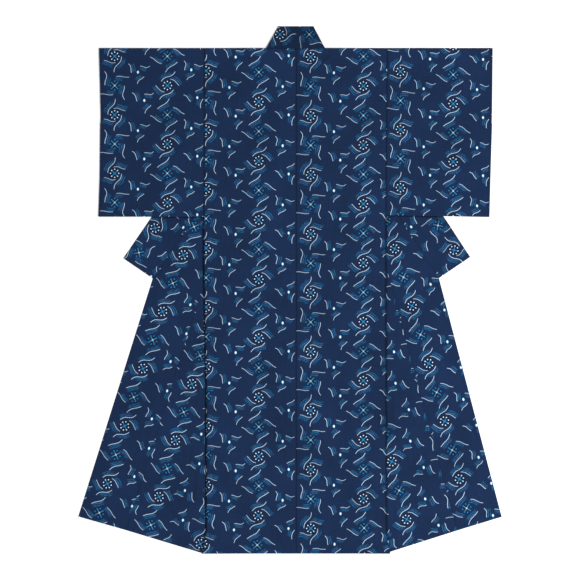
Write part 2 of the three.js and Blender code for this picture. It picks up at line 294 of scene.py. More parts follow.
# The bundles around each motif, from start to end in millimetres right and down from its middle.
# A rosette has each bundle twice, the second time turned half round. "side" is 1 where the blue
# strands lie clockwise of the way from start to end, -1 where they lie anticlockwise. "wave" and
# "arc" bend a bundle towards its blue side, in an S and in a bow.
BUNDLES = [
    {
        "motif": "A1", "start": (2, -49), "end": (-21, -1), "side": 1, "wave": -3.5,
        "pitch": 6.2, "span": 0.68, "shift": 0.06, "lead": 0.03,
    },
    {
        "motif": "A1", "start": (-3, -19), "end": (33, -13), "side": -1, "wave": 1.6, "arc": 2.3,
        "span": 0.92, "shift": 0.06, "lead": 0.06, "share": 0.75,
    },
    {
        "motif": "A2", "start": (-19, -13), "end": (24, -43), "side": -1, "wave": 3.2, "arc": -0.7,
        "pitch": 5.4, "shift": -0.06, "lead": -0.03,
    },
    {
        "motif": "A2", "start": (9, -20), "end": (36, 0), "side": -1, "wave": 0.6, "arc": 3.2,
        "pitch": 6, "span": 1, "lead": 0.08, "share": 0.85,
    },
    {
        "motif": "B1", "start": (-31, -44), "end": (-30, -1), "side": -1, "wave": 2.3, "arc": 4.8,
        "pitch": 6.4, "span": 0.66, "shift": 0.16, "lead": 0.06,
    },
    {
        "motif": "B1", "start": (5, -28), "end": (45, -26), "side": 1, "wave": -1, "arc": -0.5,
        "span": 0.6, "shift": -0.24, "lead": -0.05, "share": 0.75,
    },
    {
        "motif": "B2", "start": (-31, -18), "end": (6, -50), "side": 1, "wave": -1.5, "arc": 3,
        "pitch": 5.4, "span": 0.78, "shift": -0.1,
    },
    {
        "motif": "B2", "start": (18, -23), "end": (53, -2), "side": 1, "wave": -1.3, "arc": -0.9,
        "pitch": 5, "shift": -0.14, "lead": -0.04, "share": 0.85,
    },
    {
        "motif": "C1", "start": (-29, -26), "end": (-20, 2), "side": -1, "wave": 1, "arc": 3,
        "pitch": 6, "span": 0.85, "shift": 0.04, "lead": 0.02,
    },
    {
        "motif": "C1", "start": (7, -19), "end": (37, -19), "side": 1, "wave": -1.5, "arc": 4.2,
        "pitch": 5, "span": 0.65, "shift": -0.1, "lead": -0.06, "share": 0.8,
    },
    {
        "motif": "C1", "start": (19, 14), "end": (-2, 36), "side": 1, "wave": -1, "arc": 2.8,
        "pitch": 5.6, "shift": -0.05, "share": 0.9,
    },
    {
        "motif": "C2", "start": (-37, -24), "end": (-22, 3), "side": -1, "wave": 0.8, "arc": 3.4,
        "pitch": 6, "span": 0.8, "shift": 0.08,
    },
    {
        "motif": "C2", "start": (0, -19), "end": (29, -23), "side": 1, "wave": -1.6, "arc": 2.8,
        "pitch": 5, "span": 0.8, "shift": -0.06, "share": 0.8,
    },
    {
        "motif": "C2", "start": (21, 15), "end": (2, 40), "side": 1, "wave": -0.8, "arc": 3,
        "pitch": 5.6, "shift": -0.07, "share": 0.9,
    },
    {
        "motif": "C3", "start": (-22, -28), "end": (-20, 1), "side": -1, "wave": 1.5, "arc": 4,
        "pitch": 6, "span": 0.8, "shift": 0.1,
    },
    {
        "motif": "C3", "start": (9, -17), "end": (36, -14), "side": 1, "wave": -1.3, "arc": 3.2,
        "pitch": 5.2, "span": 0.68, "shift": -0.14, "share": 0.8,
    },
    {
        "motif": "C3", "start": (10, 13), "end": (-14, 31), "side": 1, "wave": -1.5, "arc": 0.5,
        "pitch": 5.6, "span": 0.75, "shift": -0.05, "share": 0.9,
    },
    {
        "motif": "C4", "start": (-42, -9), "end": (-20, 12), "side": -1, "wave": 1.2, "arc": 2.2,
        "shift": 0.1, "lead": 0.04,
    },
    {
        "motif": "C4", "start": (-6, -18), "end": (18, -33), "side": 1, "wave": -1, "arc": 1.1,
        "pitch": 5, "shift": -0.14, "share": 0.85,
    },
    {"motif": "C4", "start": (18, 4), "end": (10, 32), "side": 1, "arc": 3.5, "shift": -0.03},
]

# Steps across and along each piece, and the closer steps beside a sewn or folded edge
ROW_STEP = 6.5
FINE_STEPS = (0, 0.7, 1.6, 2.7, 4.0, 5.5, 7.5)
NARROW = 45
UNDER_BACK_STEPS = 30
CENTRE_STEPS = 36
FLARED_STEPS = 40
OVERLAP_STEPS = 20
COLLAR_STEPS = 11
SLEEVE_STEPS_ACROSS = 46
NECK_STEPS_ACROSS = 34
NECK_STEPS_UP = 12
NECK_STEPS_UNDER = 6
FOLD_ARC_STEPS = 6

UP = np.array((0.0, 0.0, 1.0))
DOWN = -UP
TOWARDS_COLLAR = np.array((0.0, 1.0, 0.0))
TOWARDS_HEM = -TOWARDS_COLLAR


def linear(colour):
    """An sRGB hex colour as linear values."""
    parts = [int(colour[i:i + 2], 16) / 255 for i in (1, 3, 5)]
    return [part / 12.92 if part <= 0.04045 else ((part + 0.055) / 1.055) ** 2.4 for part in parts]


class KimonoCloth(PropertyGroup):
    """Sizes of the cloth and its edges"""

    thickness: FloatProperty(
        name="Cloth thickness", description="Thickness of one layer with its hem turned in",
        default=0.0009, unit="LENGTH",
    )
    edge_share: FloatProperty(
        name="Edge share", description="Part of the thickness that is left right at an edge",
        default=0.3, subtype="FACTOR", min=0.1, max=1.0,
    )
    seam_roll: FloatProperty(
        name="Seam roll", description="Width over which the cloth rolls down into a seam",
        default=0.005, unit="LENGTH",
    )
    edge_roll: FloatProperty(
        name="Edge roll", description="Width over which a hem or a free edge is rounded",
        default=0.0016, unit="LENGTH",
    )
    pressed_line: FloatProperty(
        name="Pressed line",
        description="Distance from a sleeve's outer edge to the line pressed inside it",
        default=0.0046, unit="LENGTH",
    )


class KimonoChart(PropertyGroup):
    """Sizes of the woven repeat"""

    row_pitch: FloatProperty(
        name="Row pitch", description="Distance along the bolt between two rosettes",
        default=0.0904, unit="LENGTH",
    )
    column_pitch: FloatProperty(
        name="Column pitch", description="Distance across the bolt between two rosette columns",
        default=0.162, unit="LENGTH",
    )
    line_width: FloatProperty(
        name="Pale line width", description="Width of the undyed line of a strand bundle",
        default=0.0017, unit="LENGTH",
    )
    strand_width: FloatProperty(
        name="Blue strand width", description="Width of one half-dyed strand",
        default=0.0025, unit="LENGTH",
    )
    bleed: FloatProperty(
        name="Bleed", description="How far dyed threads slip past each other along the warp",
        default=0.0007, unit="LENGTH",
    )


class KimonoDye(PropertyGroup):
    """Colours of the dyed threads"""

    indigo: FloatVectorProperty(
        name="Indigo ground", description="Thread dyed all through", subtype="COLOR",
        size=3, default=linear("#142747"), min=0, max=1,
    )
    indigo_deep: FloatVectorProperty(
        name="Deep indigo", description="Disc behind a rosette's dots", subtype="COLOR",
        size=3, default=linear("#0A162B"), min=0, max=1,
    )
    half_blue: FloatVectorProperty(
        name="Half blue", description="Strands dyed twice", subtype="COLOR",
        size=3, default=linear("#226797"), min=0, max=1,
    )
    clear_blue: FloatVectorProperty(
        name="Clear blue", description="Middle of a rosette, dyed once", subtype="COLOR",
        size=3, default=linear("#1B72A8"), min=0, max=1,
    )
    light_blue: FloatVectorProperty(
        name="Light blue", description="Arms of a crossed rosette", subtype="COLOR",
        size=3, default=linear("#6CADCA"), min=0, max=1,
    )
    undyed: FloatVectorProperty(
        name="Undyed cotton", description="Threads tied off from the dye", subtype="COLOR",
        size=3, default=linear("#B9CFE2"), min=0, max=1,
    )
    bright: FloatVectorProperty(
        name="Bright dots", description="Bleached cotton of the dots", subtype="COLOR",
        size=3, default=linear("#E2F4FF"), min=0, max=1,
    )


class KimonoStitching(PropertyGroup):
    """Hand sewing along hems and free edges"""

    spacing: FloatProperty(
        name="Stitch spacing", description="Distance from one stitch to the next",
        default=0.011, unit="LENGTH",
    )
    length: FloatProperty(
        name="Stitch length", description="Length of thread that shows in one stitch",
        default=0.0024, unit="LENGTH",
    )
    thread: FloatProperty(
        name="Thread thickness", description="Thickness of the sewing thread",
        default=0.0005, unit="LENGTH",
    )
    inset: FloatProperty(
        name="Hem inset", description="Distance from an edge to its row of stitches",
        default=0.010, unit="LENGTH",
    )
    seed: IntProperty(name="Seed", description="Fixes how uneven the stitches are", default=7, min=0)


class KimonoStage(PropertyGroup):
    """Camera, light and floor"""

    frame_width: FloatProperty(
        name="Frame width", description="Width of floor that the camera takes in",
        default=1.7835, unit="LENGTH",
    )
    floor_width: FloatProperty(
        name="Floor width", description="Width of the pale floor", default=14, unit="LENGTH",
    )
    key_place: FloatVectorProperty(
        name="Key light place", description="Where the large soft light hangs, aimed at the middle",
        default=(3.4, -1.0, 3.6), size=3, subtype="TRANSLATION", unit="LENGTH",
    )
    key_size: FloatProperty(
        name="Key light size", description="Width of the large soft light", default=2.4, unit="LENGTH",
    )
    key_power: FloatProperty(
        name="Key light", description="Power of the large soft light",
        default=240, unit="POWER",
    )
    fill_strength: FloatProperty(
        name="Fill", description="Strength of the even light from all round", default=0.6, min=0,
    )


def mix(start, end, part):
    return start + (end - start) * part


def smooth(value, start, end):
    """0 before start, 1 after end, and a soft rise between them."""
    part = np.clip((value - start) / (end - start), 0, 1)
    return part * part * (3 - 2 * part)


def look_up(table, side, down):
    return np.interp(down, table["down"], table[side])


def along_line(lengths, points, length):
    """Places on a broken line of (out, down) points, by length down the garment's front."""
    points = np.array(points, dtype=float)
    return np.stack([np.interp(length, lengths, points[:, i]) for i in (0, 1)], axis=-1)


def under_back_edge(side, down):
    """Inner edge of the front's part that lies straight under the back."""
    place = SIDES[side]
    neck_line = mix(place["neck_point"][0], place["fold_top"][0], down / FOLD_TOP)
    return np.where(down <= FOLD_TOP, neck_line, look_up(FRONT_FOLD, side, down))


def collar_seam(side, length):
    place = SIDES[side]
    points = [place["fold_top"], place["overlap_top"], place["collar_inner_end"]]
    return along_line((FOLD_TOP, OVERLAP_TOP, COLLAR_END), points, length)


def overlap_seam(side, length):
    place = SIDES[side]
    points = [place["overlap_top"], place["overlap_seam_hem"]]
    return along_line((OVERLAP_TOP, BACK_LENGTH), points, length)


def overlap_edge(side, length):
    """The overlap panel's outer edge: collar seam, then the free front edge down to the hem."""
    place = SIDES[side]
    points = [place["overlap_top"], place["collar_inner_end"], place["front_hem_corner"]]
    return along_line((OVERLAP_TOP, COLLAR_END, BACK_LENGTH), points, length)


def table_outline(side):
    """Outline of all that lies directly on the table at one side, as (x, down)."""
    place = SIDES[side]
    fold = list(zip(FRONT_FOLD[side], FRONT_FOLD["down"]))
    outline = [
        *place["collar_under_neck"], *fold, place["overlap_seam_hem"], place["front_hem_corner"],
        place["collar_inner_end"], place["collar_outer_end"], *reversed(place["collar_free_edge"]),
    ]
    return [(place["sign"] * out, down) for out, down in outline]


UNDER_NECK_OUTLINE = [
    (-NECK["left_top"], -NECK["height"]),
    (NECK["right_top"], -NECK["height"]),
    (NECK["right_foot"], NECK["turned_under"] - NECK["height"]),
    (-NECK["left_foot"], NECK["turned_under"] - NECK["height"]),
]
TABLE_OUTLINES = [table_outline("left"), table_outline("right"), UNDER_NECK_OUTLINE]


def distance_outside(outline, x, down):
    """Distance from places on the table to an outline, nothing inside it."""
    nearest = np.full(np.shape(x), np.inf)
    inside = np.zeros(np.shape(x), dtype=bool)
    for (ax, ay), (bx, by) in zip(outline, outline[1:] + outline[:1]):
        along = ((x - ax) * (bx - ax) + (down - ay) * (by - ay)) / ((bx - ax) ** 2 + (by - ay) ** 2)
        part = np.clip(along, 0, 1)
        nearest = np.minimum(nearest, np.hypot(x - mix(ax, bx, part), down - mix(ay, by, part)))
        if ay != by:
            crosses = (ay > down) != (by > down)
            inside ^= crosses & (x < mix(ax, bx, (down - ay) / (by - ay)))
    return np.where(inside, 0, nearest)


def lift(distance):
    return 1 - smooth(distance, SINK_START, SINK_START + SINK_WIDTH)


def second_layer(x, down):
    """Height of the underside of the second layer, over what lies on the table."""
    lifts = [lift(distance_outside(outline, x, down)) for outline in TABLE_OUTLINES]
    return LAYER_STEP * np.max(lifts, axis=0)


def back_layer(x, down):
    """Height of the back's underside, over the fronts that are turned in beneath it."""
    level = np.maximum(0, down)
    edge = np.where(x < 0, under_back_edge("left", level), under_back_edge("right", level))
    return second_layer(x, down) + LAYER_STEP * lift(edge - np.abs(x))


def from_crease(crease, x, down):
    """How far along a crease places are, from 0 to 1, and how far beside its bowed line."""
    (ax, ay), (bx, by) = crease["start"], crease["end"]
    length = math.hypot(bx - ax, by - ay)
    along = ((x - ax) * (bx - ax) + (down - ay) * (by - ay)) / length**2
    aside = ((x - ax) * (by - ay) - (down - ay) * (bx - ax)) / length
    part = np.clip(along, 0, 1)
    return part, aside - crease["bow"] * np.sin(math.pi * part)


def painted_crease_shade(x, down, layer):
    """How much painted shade the sharply pressed creases of one layer of cloth get, from 0 to 1."""
    painted_shade = np.zeros(np.shape(x))
    for crease in CREASES:
        if crease["layer"] == layer and "pressed" in crease:
            part, aside = from_crease(crease, x, down)
            line = np.exp(-(aside / (0.4 * crease["width"])) ** 2)
            painted_shade = np.maximum(painted_shade, crease["pressed"] * np.sin(math.pi * part) * line)
    return painted_shade


def relief(x, down, layer):
    """Height that the creases and swells add to a layer of cloth."""
    height = np.zeros(np.shape(x))
    for crease in CREASES:
        if crease["layer"] <= layer:
            part, aside = from_crease(crease, x, down)
            width = crease["width"] * (0.7 + 0.6 * part)
            height += crease["height"] * np.sin(math.pi * part) * np.exp(-(aside / width) ** 2)
    if layer > 1:
        for swell in SWELLS:
            turn_of = 2 * math.pi * (x / swell["across"] + down / swell["down"]) + swell["phase"]
            height += swell["height"] * (1 + np.sin(turn_of)) / 2
    return height


def cloth_place(name, x, down):
    """Metres of cloth across and along the bolt that lie at places on the table."""
    laid = LAID[name]
    motif = MOTIFS[laid["motif"]]
    chart = bpy.context.scene.kimono_chart
    turn_by = math.radians(laid["turn"])
    across = np.array((math.cos(turn_by), math.sin(turn_by)))
    along = np.array((-math.sin(turn_by), math.cos(turn_by)))
    if laid.get("reverse"):
        across = -across
    x = x / (1 + laid.get("flare", 0) * smooth(down, *WIDENING))
    from_motif = np.stack([x - laid["at"][0], down - laid["at"][1]], axis=-1) * MM
    u = from_motif @ across
    v = from_motif @ along
    u = u - laid.get("bow", 0) * MM * v**2
    v = v / laid.get("stretch", 1) - laid["slant"] * u
    start_u = motif["column"] * chart.column_pitch + motif["beside"][0] * MM
    start_v = motif["row"] * chart.row_pitch + motif["beside"][1] * MM
    return np.stack([u + start_u, v + start_v], axis=-1)


def edge_profile(distance, roll):
    """Share of the full thickness near an edge, as a rounded shoulder."""
    part = np.clip(distance / roll, 0, 1)
    return np.sqrt(1 - (1 - part) ** 2)


def past_upper_edge(side, x, down):
    """How far what lies on the table is past the edge of the back or the sleeve over it, which
    sets the painted shadow there.
    """
    place = SIDES[side]
    out = place["sign"] * x
    side_edge = look_up(SIDE_EDGE, side, down)
    over_sleeve = np.clip((out - side_edge) / (SLEEVE_EDGE[side][-1] - side_edge), 0, 1)
    past_foot = down - mix(*place["sleeve_bottom"], over_sleeve) - LAYER_STEP
    fainter_shadow_at_hem = HEM_SHADOW_FADE * smooth(down, HEM_FLARE, BACK_LENGTH)
    return np.clip(np.minimum(out - side_edge, past_foot) + fainter_shadow_at_hem, 0, OPEN_GROUND)


def stretch_of_cloth(x, down, underside, face, cloth, thin=1.0, seam=0.0, tucked=OPEN_GROUND):
    """A grid of places in the middle of the cloth, with the way that its outer face looks. "thin"
    is the share of its thickness that it keeps, "seam" how much painted shade a seam or a pressed
    crease puts on it, and "tucked" how far it is past the edge of the layer above it, which sets
    the painted shadow there."""
    sizes = bpy.context.scene.kimono_cloth
    full = sizes.thickness / MM
    share = mix(sizes.edge_share, 1, np.broadcast_to(thin, np.shape(x)))
    thick = full * share
    return {
        "at": np.stack([x, -down, underside + thick / 2], axis=-1),
        "face": np.broadcast_to(face, (*np.shape(x), 3)).copy(),
        "thick": thick,
        "cloth": cloth,
        "seam": np.broadcast_to(seam, np.shape(x)).copy(),
        "tucked": np.broadcast_to(np.asarray(tucked, dtype=float), np.shape(x)).copy(),
    }


def edge_of(stretch, rows, columns):
    """One line of places of a stretch."""
    return {key: values[rows, columns] for key, values in stretch.items()}


def turned(start, end, bulge):
    """The turn between two layers that lie one over the other, round to the side that bulges."""
    middle = (start["at"] + end["at"]) / 2
    away = start["at"] - middle
    radius = np.linalg.norm(away, axis=-1, keepdims=True)
    away = away / radius
    facing = np.sign(np.sum(start["face"] * away, axis=-1, keepdims=True))
    rows = {key: [] for key in start}
    for part in np.linspace(0, 1, FOLD_ARC_STEPS + 1):
        direction = away * math.cos(part * math.pi) + bulge * math.sin(part * math.pi)
        rows["at"].append(direction * radius + middle)
        rows["face"].append(direction * facing)
        rows["thick"].append(mix(start["thick"], end["thick"], part))
        for key in ("cloth", *PAINTED_SHADES):
            rows[key].append(start[key])
    return {key: np.stack(values) for key, values in rows.items()}


def spread(width, count, fine_start, fine_end):
    """Shares of a width, for each row, set closer together beside the fine edges."""
    width = np.asarray(width, dtype=float)[:, None]
    fine = np.array(FINE_STEPS) * np.minimum(1, width / NARROW)
    start = fine if fine_start else np.zeros_like(width)
    end = width - fine[:, ::-1] if fine_end else width
    middle = start[:, -1:] + (end[:, :1] - start[:, -1:]) * np.linspace(0, 1, count + 1)[1:-1]
    return np.concatenate([start, middle, end], axis=1) / width


def row_places(stops):
    """Distances down for the rows of a piece, through every stop."""
    rows = [float(stops[0])]
    for start, end in zip(stops, stops[1:]):
        count = max(1, round((end - start) / ROW_STEP))
        rows.extend(np.linspace(start, end, count + 1)[1:])
    return np.array(rows)


def with_fine_end(rows):
    """The same rows with closer ones before the last, where the hem is rounded."""
    fine = rows[-1] - np.array(FINE_STEPS[:4])[::-1]
    return np.concatenate([rows[rows < fine[0] - 1], fine])


BODY_STOPS = (0, FOLD_TOP, OVERLAP_TOP, SEWN_SIDE_TOP, COLLAR_END, HEM_FLARE, BACK_LENGTH)
BODY_ROWS = with_fine_end(row_places(BODY_STOPS))


def cloth_mesh(name, stretches):
    """One closed shell of cloth from its stretches, which are joined where their places meet."""
    at = np.concatenate([part["at"].reshape(-1, 3) for part in stretches])
    face = np.concatenate([part["face"].reshape(-1, 3) for part in stretches])
    thick = np.concatenate([part["thick"].reshape(-1) for part in stretches])
    painted_shades = {key: np.concatenate([part[key].reshape(-1) for part in stretches]) for key in PAINTED_SHADES}
    cloth = np.concatenate([part["cloth"].reshape(-1, 2) for part in stretches])
    _, first, joined = np.unique(np.round(at, 3), axis=0, return_index=True, return_inverse=True)
    joined = joined.reshape(-1)
    squares = []
    begin = 0
    for part in stretches:
        rows, columns = part["at"].shape[:2]
        number = np.arange(begin, begin + rows * columns).reshape(rows, columns)
        corners = [number[:-1, :-1], number[:-1, 1:], number[1:, 1:], number[1:, :-1]]
        squares.append(np.stack([corner.reshape(-1) for corner in corners], axis=1))
        begin += rows * columns
    squares = np.concatenate(squares)
    across = at[squares[:, 2]] - at[squares[:, 0]]
    down = at[squares[:, 3]] - at[squares[:, 1]]
    outwards = np.sum(np.cross(across, down) * face[squares].sum(axis=1), axis=1) > 0
    squares = np.where(outwards[:, None], squares, squares[:, [0, 3, 2, 1]])
    welded = joined[squares]

    middle, way, half = at[first], face[first], thick[first, None] / 2
    count = len(first)
    points = np.concatenate([middle + way * half, middle - way * half])
    edges = np.concatenate([welded[:, [i, (i + 1) % 4]] for i in range(4)])
    edge_cloth = np.concatenate([cloth[squares[:, [i, (i + 1) % 4]]] for i in range(4)])
    code = edges[:, 0] * count + edges[:, 1]
    open_edge = ~np.isin(code, edges[:, 1] * count + edges[:, 0])
    rim = edges[open_edge]
    rim_cloth = edge_cloth[open_edge]
    rims = np.stack([rim[:, 1], rim[:, 0], rim[:, 0] + count, rim[:, 1] + count], axis=1)

    faces = np.concatenate([welded, welded[:, ::-1] + count, rims])
    loop_cloth = np.concatenate([cloth[squares], cloth[squares][:, ::-1], rim_cloth[:, [1, 0, 0, 1]]])
    mesh = bpy.data.meshes.new(name)
    mesh.vertices.add(len(points))
    mesh.vertices.foreach_set("co", on_the_part(points).reshape(-1))
    mesh.loops.add(faces.size)
    mesh.loops.foreach_set("vertex_index", faces.reshape(-1).astype(np.int32))
    mesh.polygons.add(len(faces))
    mesh.polygons.foreach_set("loop_start", np.arange(0, faces.size, 4, dtype=np.int32))
    mesh.update(calc_edges=True)
    mesh.polygons.foreach_set("use_smooth", np.arange(len(faces)) < 2 * len(welded))
    cloth_map = mesh.uv_layers.new(name=CLOTH_MAP)
    cloth_map.data.foreach_set("uv", loop_cloth.reshape(-1).astype(np.float32))
    for key, values in painted_shades.items():
        painted_shade = mesh.attributes.new(key, "FLOAT", "POINT")
        painted_shade.data.foreach_set("value", np.tile(values[first], 2).astype(np.float32))
    if mesh.validate():
        raise RuntimeError(f"{name}: the cloth's faces don't close")
    return mesh


def on_the_part(points):
    """Places on the table, as x right, y towards the collar and z up, in the part's metres."""
    centre_x = (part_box("body_left")[1][0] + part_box("body_right")[0][0]) / 2
    shoulder_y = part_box("sleeve_left")[1][1] - FOLD_BULGE * MM
    return np.asarray(points) * MM + np.array((centre_x, shoulder_y, 0.0))


def finish_piece(mesh, node):
    """Puts a cloth piece in the scene with the cotton, under the root, and hides its part."""
    piece = bpy.data.objects.new(mesh.name, mesh)
    bpy.context.scene.collection.objects.link(piece)
    mesh.materials.append(kasuri_cotton())
    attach(piece, "root")
    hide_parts(node)


def roll_sizes():
    sizes = bpy.context.scene.kimono_cloth
    return sizes.seam_roll / MM, sizes.edge_roll / MM


def body_stretches(side):
    """The back, over the shoulder, down under the back, and turned out at the slanting fold."""
    sign = SIDES[side]["sign"]
    seam_roll, edge_roll = roll_sizes()
    down = BODY_ROWS
    edge = look_up(SIDE_EDGE, side, down)
    inner = under_back_edge(side, down)
    lined = edge - inner
    over_front = edge[:, None] - lined[:, None] * spread(lined, UNDER_BACK_STEPS, True, False)
    bare = inner[:, None] - inner[:, None] * spread(inner, CENTRE_STEPS, False, True)
    out = np.concatenate([over_front, bare[:, 1:]], axis=1)
    rows = np.broadcast_to(down[:, None], out.shape)
    open_side = 1 - smooth(rows, SLEEVE_LENGTH, SEWN_SIDE_TOP)
    from_side = edge[:, None] - out
    hem = edge_profile(BACK_LENGTH - rows, edge_roll)
    at_armhole = mix(1, edge_profile(from_side, seam_roll), open_side)
    thin = at_armhole * edge_profile(out, seam_roll) * hem
    # Painted shade along the centre seam, the side seam and the armhole, weaker at the side towards the hem
    side_seam_painted_shade = mix(SEAM_DEPTH_AND_PAINTED_SHADE["side"], SEAM_DEPTH_AND_PAINTED_SHADE["armhole"], open_side)
    side_seam_painted_shade = side_seam_painted_shade * (1 - HEM_SHADE_FADE * smooth(rows, HEM_FLARE, BACK_LENGTH))
    seam = np.maximum(
        SEAM_DEPTH_AND_PAINTED_SHADE["centre"] * (1 - smooth(out, 0, seam_roll)),
        side_seam_painted_shade * (1 - smooth(from_side, 0, seam_roll)),
    )
    x = sign * out
    seam = np.maximum(seam, painted_crease_shade(x, rows, 3))
    back_height = back_layer(x, rows) + relief(x, rows, 3)
    back = stretch_of_cloth(
        x, rows, back_height, UP, cloth_place(f"back_{side}", x, rows), thin, seam
    )

    many = over_front.shape[1]
    under_x = x[:, :many]
    under_rows = rows[:, :many]
    under_height = second_layer(under_x, under_rows) + relief(under_x, under_rows, 3)
    over_shoulder = cloth_place(f"back_{side}", under_x, -under_rows)
    front = stretch_of_cloth(
        under_x, under_rows, under_height, DOWN, over_shoulder,
        (at_armhole * hem)[:, :many], seam[:, :many],
    )
    shoulder = turned(edge_of(back, 0, slice(many)), edge_of(front, 0, slice(None)), TOWARDS_COLLAR)

    outwards = np.array((sign, 0.0, 0.0))
    sewn = np.flatnonzero(down >= SEWN_SIDE_TOP)
    side_seam = turned(edge_of(back, sewn, 0), edge_of(front, sewn, 0), outwards)

    flared_rows = np.flatnonzero(down > FOLD_TOP + ROW_STEP)
    length = down[flared_rows]
    at_collar = (length <= OVERLAP_TOP)[:, None]
    seam_line = np.where(at_collar, collar_seam(side, length), overlap_seam(side, length))
    fold_line = np.stack([inner[flared_rows], length], axis=1)
    width = np.linalg.norm(seam_line - fold_line, axis=1)
    shares = spread(width, FLARED_STEPS, False, True)
    table = mix(fold_line[:, None], seam_line[:, None], shares[..., None])
    flared_x = sign * table[..., 0]
    flared_down = table[..., 1]
    from_seam = (1 - shares) * width[:, None]
    depth = SEAM_DEPTH_AND_PAINTED_SHADE["panel"]
    hem = edge_profile(BACK_LENGTH - length, edge_roll)[:, None]
    thin = mix(1, edge_profile(from_seam, seam_roll), depth) * hem
    seam = depth * (1 - smooth(from_seam, 0, seam_roll))
    seam = np.maximum(seam, painted_crease_shade(flared_x, flared_down, 1))
    flared = stretch_of_cloth(
        flared_x, flared_down, relief_on_table(side, flared_x, flared_down), UP,
        cloth_place(f"front_{side}", flared_x, flared_down), thin, seam,
        past_upper_edge(side, flared_x, flared_down),
    )
    first, last = FRONT_FOLD[side][0], FRONT_FOLD[side][1]
    inwards = np.array((-sign * (HEM_FLARE - FOLD_TOP), first - last, 0.0))
    inwards = inwards / np.linalg.norm(inwards)
    fold = turned(edge_of(front, flared_rows, -1), edge_of(flared, slice(None), 0), inwards)
    return [back, shoulder, front, side_seam, fold, flared]


def relief_on_table(side, x, down):
    """Creases of what lies on the table, level where another layer covers it."""
    sign = SIDES[side]["sign"]
    past_edge = sign * x - look_up(SIDE_EDGE, side, down)
    bare = smooth(past_edge, -4, 10) * smooth(down, SLEEVE_LENGTH, SLEEVE_LENGTH + 20)
    return relief(x, down, 1) * bare


def table_stretch(side, name, inner, outer, count, length, sewn):
    """Cloth on the table between two lines, sewn along the first and, where "sewn" is 1, along the
    second."""
    sign = SIDES[side]["sign"]
    seam_roll, edge_roll = roll_sizes()
    width = np.linalg.norm(outer - inner, axis=1)
    shares = spread(width, count, True, True)
    table = mix(inner[:, None], outer[:, None], shares[..., None])
    x = sign * table[..., 0]
    down = table[..., 1]
    from_inner = shares * width[:, None]
    from_outer = (1 - shares) * width[:, None]
    end = edge_profile(length[-1] - length, edge_roll)[:, None]
    depth = SEAM_DEPTH_AND_PAINTED_SHADE["panel"]
    sewn = sewn[:, None]
    free_outer = edge_profile(from_outer, edge_roll)
    sewn_outer = mix(1, edge_profile(from_outer, seam_roll), depth)
    thin = mix(1, edge_profile(from_inner, seam_roll), depth) * mix(free_outer, sewn_outer, sewn) * end
    seam_at_inner = 1 - smooth(from_inner, 0, seam_roll)
    seam_at_outer = (1 - smooth(from_outer, 0, seam_roll)) * sewn
    seam = depth * np.maximum(seam_at_inner, seam_at_outer)
    return stretch_of_cloth(
        x, down, relief_on_table(side, x, down), UP, cloth_place(name, x, down), thin, seam,
        past_upper_edge(side, x, down),
    )


def overlap_stretch(side):
    """From its point under the sleeve down to the hem, with the free front edge outside."""
    tip = OVERLAP_TOP + OVERLAP_TIP
    length = np.concatenate([[tip], BODY_ROWS[BODY_ROWS > tip + 2]])
    inner = overlap_seam(side, length)
    outer = overlap_edge(side, length)
    sewn = (length <= COLLAR_END).astype(float)
    return table_stretch(side, f"okumi_{side}", inner, outer, OVERLAP_STEPS, length, sewn)


def collar_stretch(side):
    """From under the neck down the front, opened out to its full width."""
    place = SIDES[side]
    neck_steps = np.array((-2.0, -1.0)) * FOLD_TOP
    below_neck = BODY_ROWS[(BODY_ROWS >= FOLD_TOP) & (BODY_ROWS <= COLLAR_END)]
    length = np.concatenate([neck_steps, with_fine_end(below_neck)])
    stops = (*neck_steps, FOLD_TOP, OVERLAP_TOP, COLLAR_END)
    seam_points = [place["fold_top"], place["overlap_top"], place["collar_inner_end"]]
    inner = along_line(stops, [*place["collar_under_neck"], *seam_points], length)
    outer = along_line(stops, [*place["collar_free_edge"], place["collar_outer_end"]], length)
    sewn = np.zeros(len(length))
    return table_stretch(side, f"collar_{side}", inner, outer, COLLAR_STEPS, length, sewn)


def neck_stretches():
    """Collar at the back of the neck: a trapezium folded double along its top edge."""
    seam_roll, edge_roll = roll_sizes()
    height = NECK["height"]
    foot_width = float(NECK["left_foot"] + NECK["right_foot"])
    part = spread([foot_width], NECK_STEPS_ACROSS, True, True)[0][:, None]

    def across_at(up):
        rise = up / height
        left = -mix(NECK["left_foot"], NECK["left_top"], rise)
        right = mix(NECK["right_foot"], NECK["right_top"], rise)
        return mix(left, right, part)

    rise = np.concatenate([[0, 0.012, 0.03, 0.055], np.linspace(0.1, 1, NECK_STEPS_UP)])[None, :]
    up = height * rise
    x = across_at(up)
    up = np.broadcast_to(up, x.shape)
    start = back_layer(x, 0 * x) + relief(x, 0 * x, 3)
    underside = mix(start, LAYER_STEP, smooth(rise, 0, 1))
    width = (across_at(height)[-1] - across_at(height)[0])[0]
    from_ends = np.minimum(part, 1 - part) * width
    ends = edge_profile(from_ends, edge_roll)
    thin = ends * edge_profile(up, seam_roll)
    # Painted shade over the whole seen neck collar, deeper along its seam at the foot
    seam = mix(SEAM_DEPTH_AND_PAINTED_SHADE["pressed"], SEAM_DEPTH_AND_PAINTED_SHADE["neck"], 1 - smooth(up, 0, seam_roll))
    seen = stretch_of_cloth(x, -up, underside, UP, cloth_place("collar_neck", x, -up), thin, seam)

    fall = np.linspace(0, 1, NECK_STEPS_UNDER + 1)[None, :]
    up = height - NECK["turned_under"] * fall
    x = across_at(up)
    up = np.broadcast_to(up, x.shape)
    folded = cloth_place("collar_neck", x, up - 2 * height)
    under = stretch_of_cloth(x, -up, 0 * x, DOWN, folded, np.broadcast_to(ends, x.shape))
    whole = slice(None)
    fold = turned(edge_of(seen, whole, -1), edge_of(under, whole, 0), TOWARDS_COLLAR)
    return [seen, fold, under]


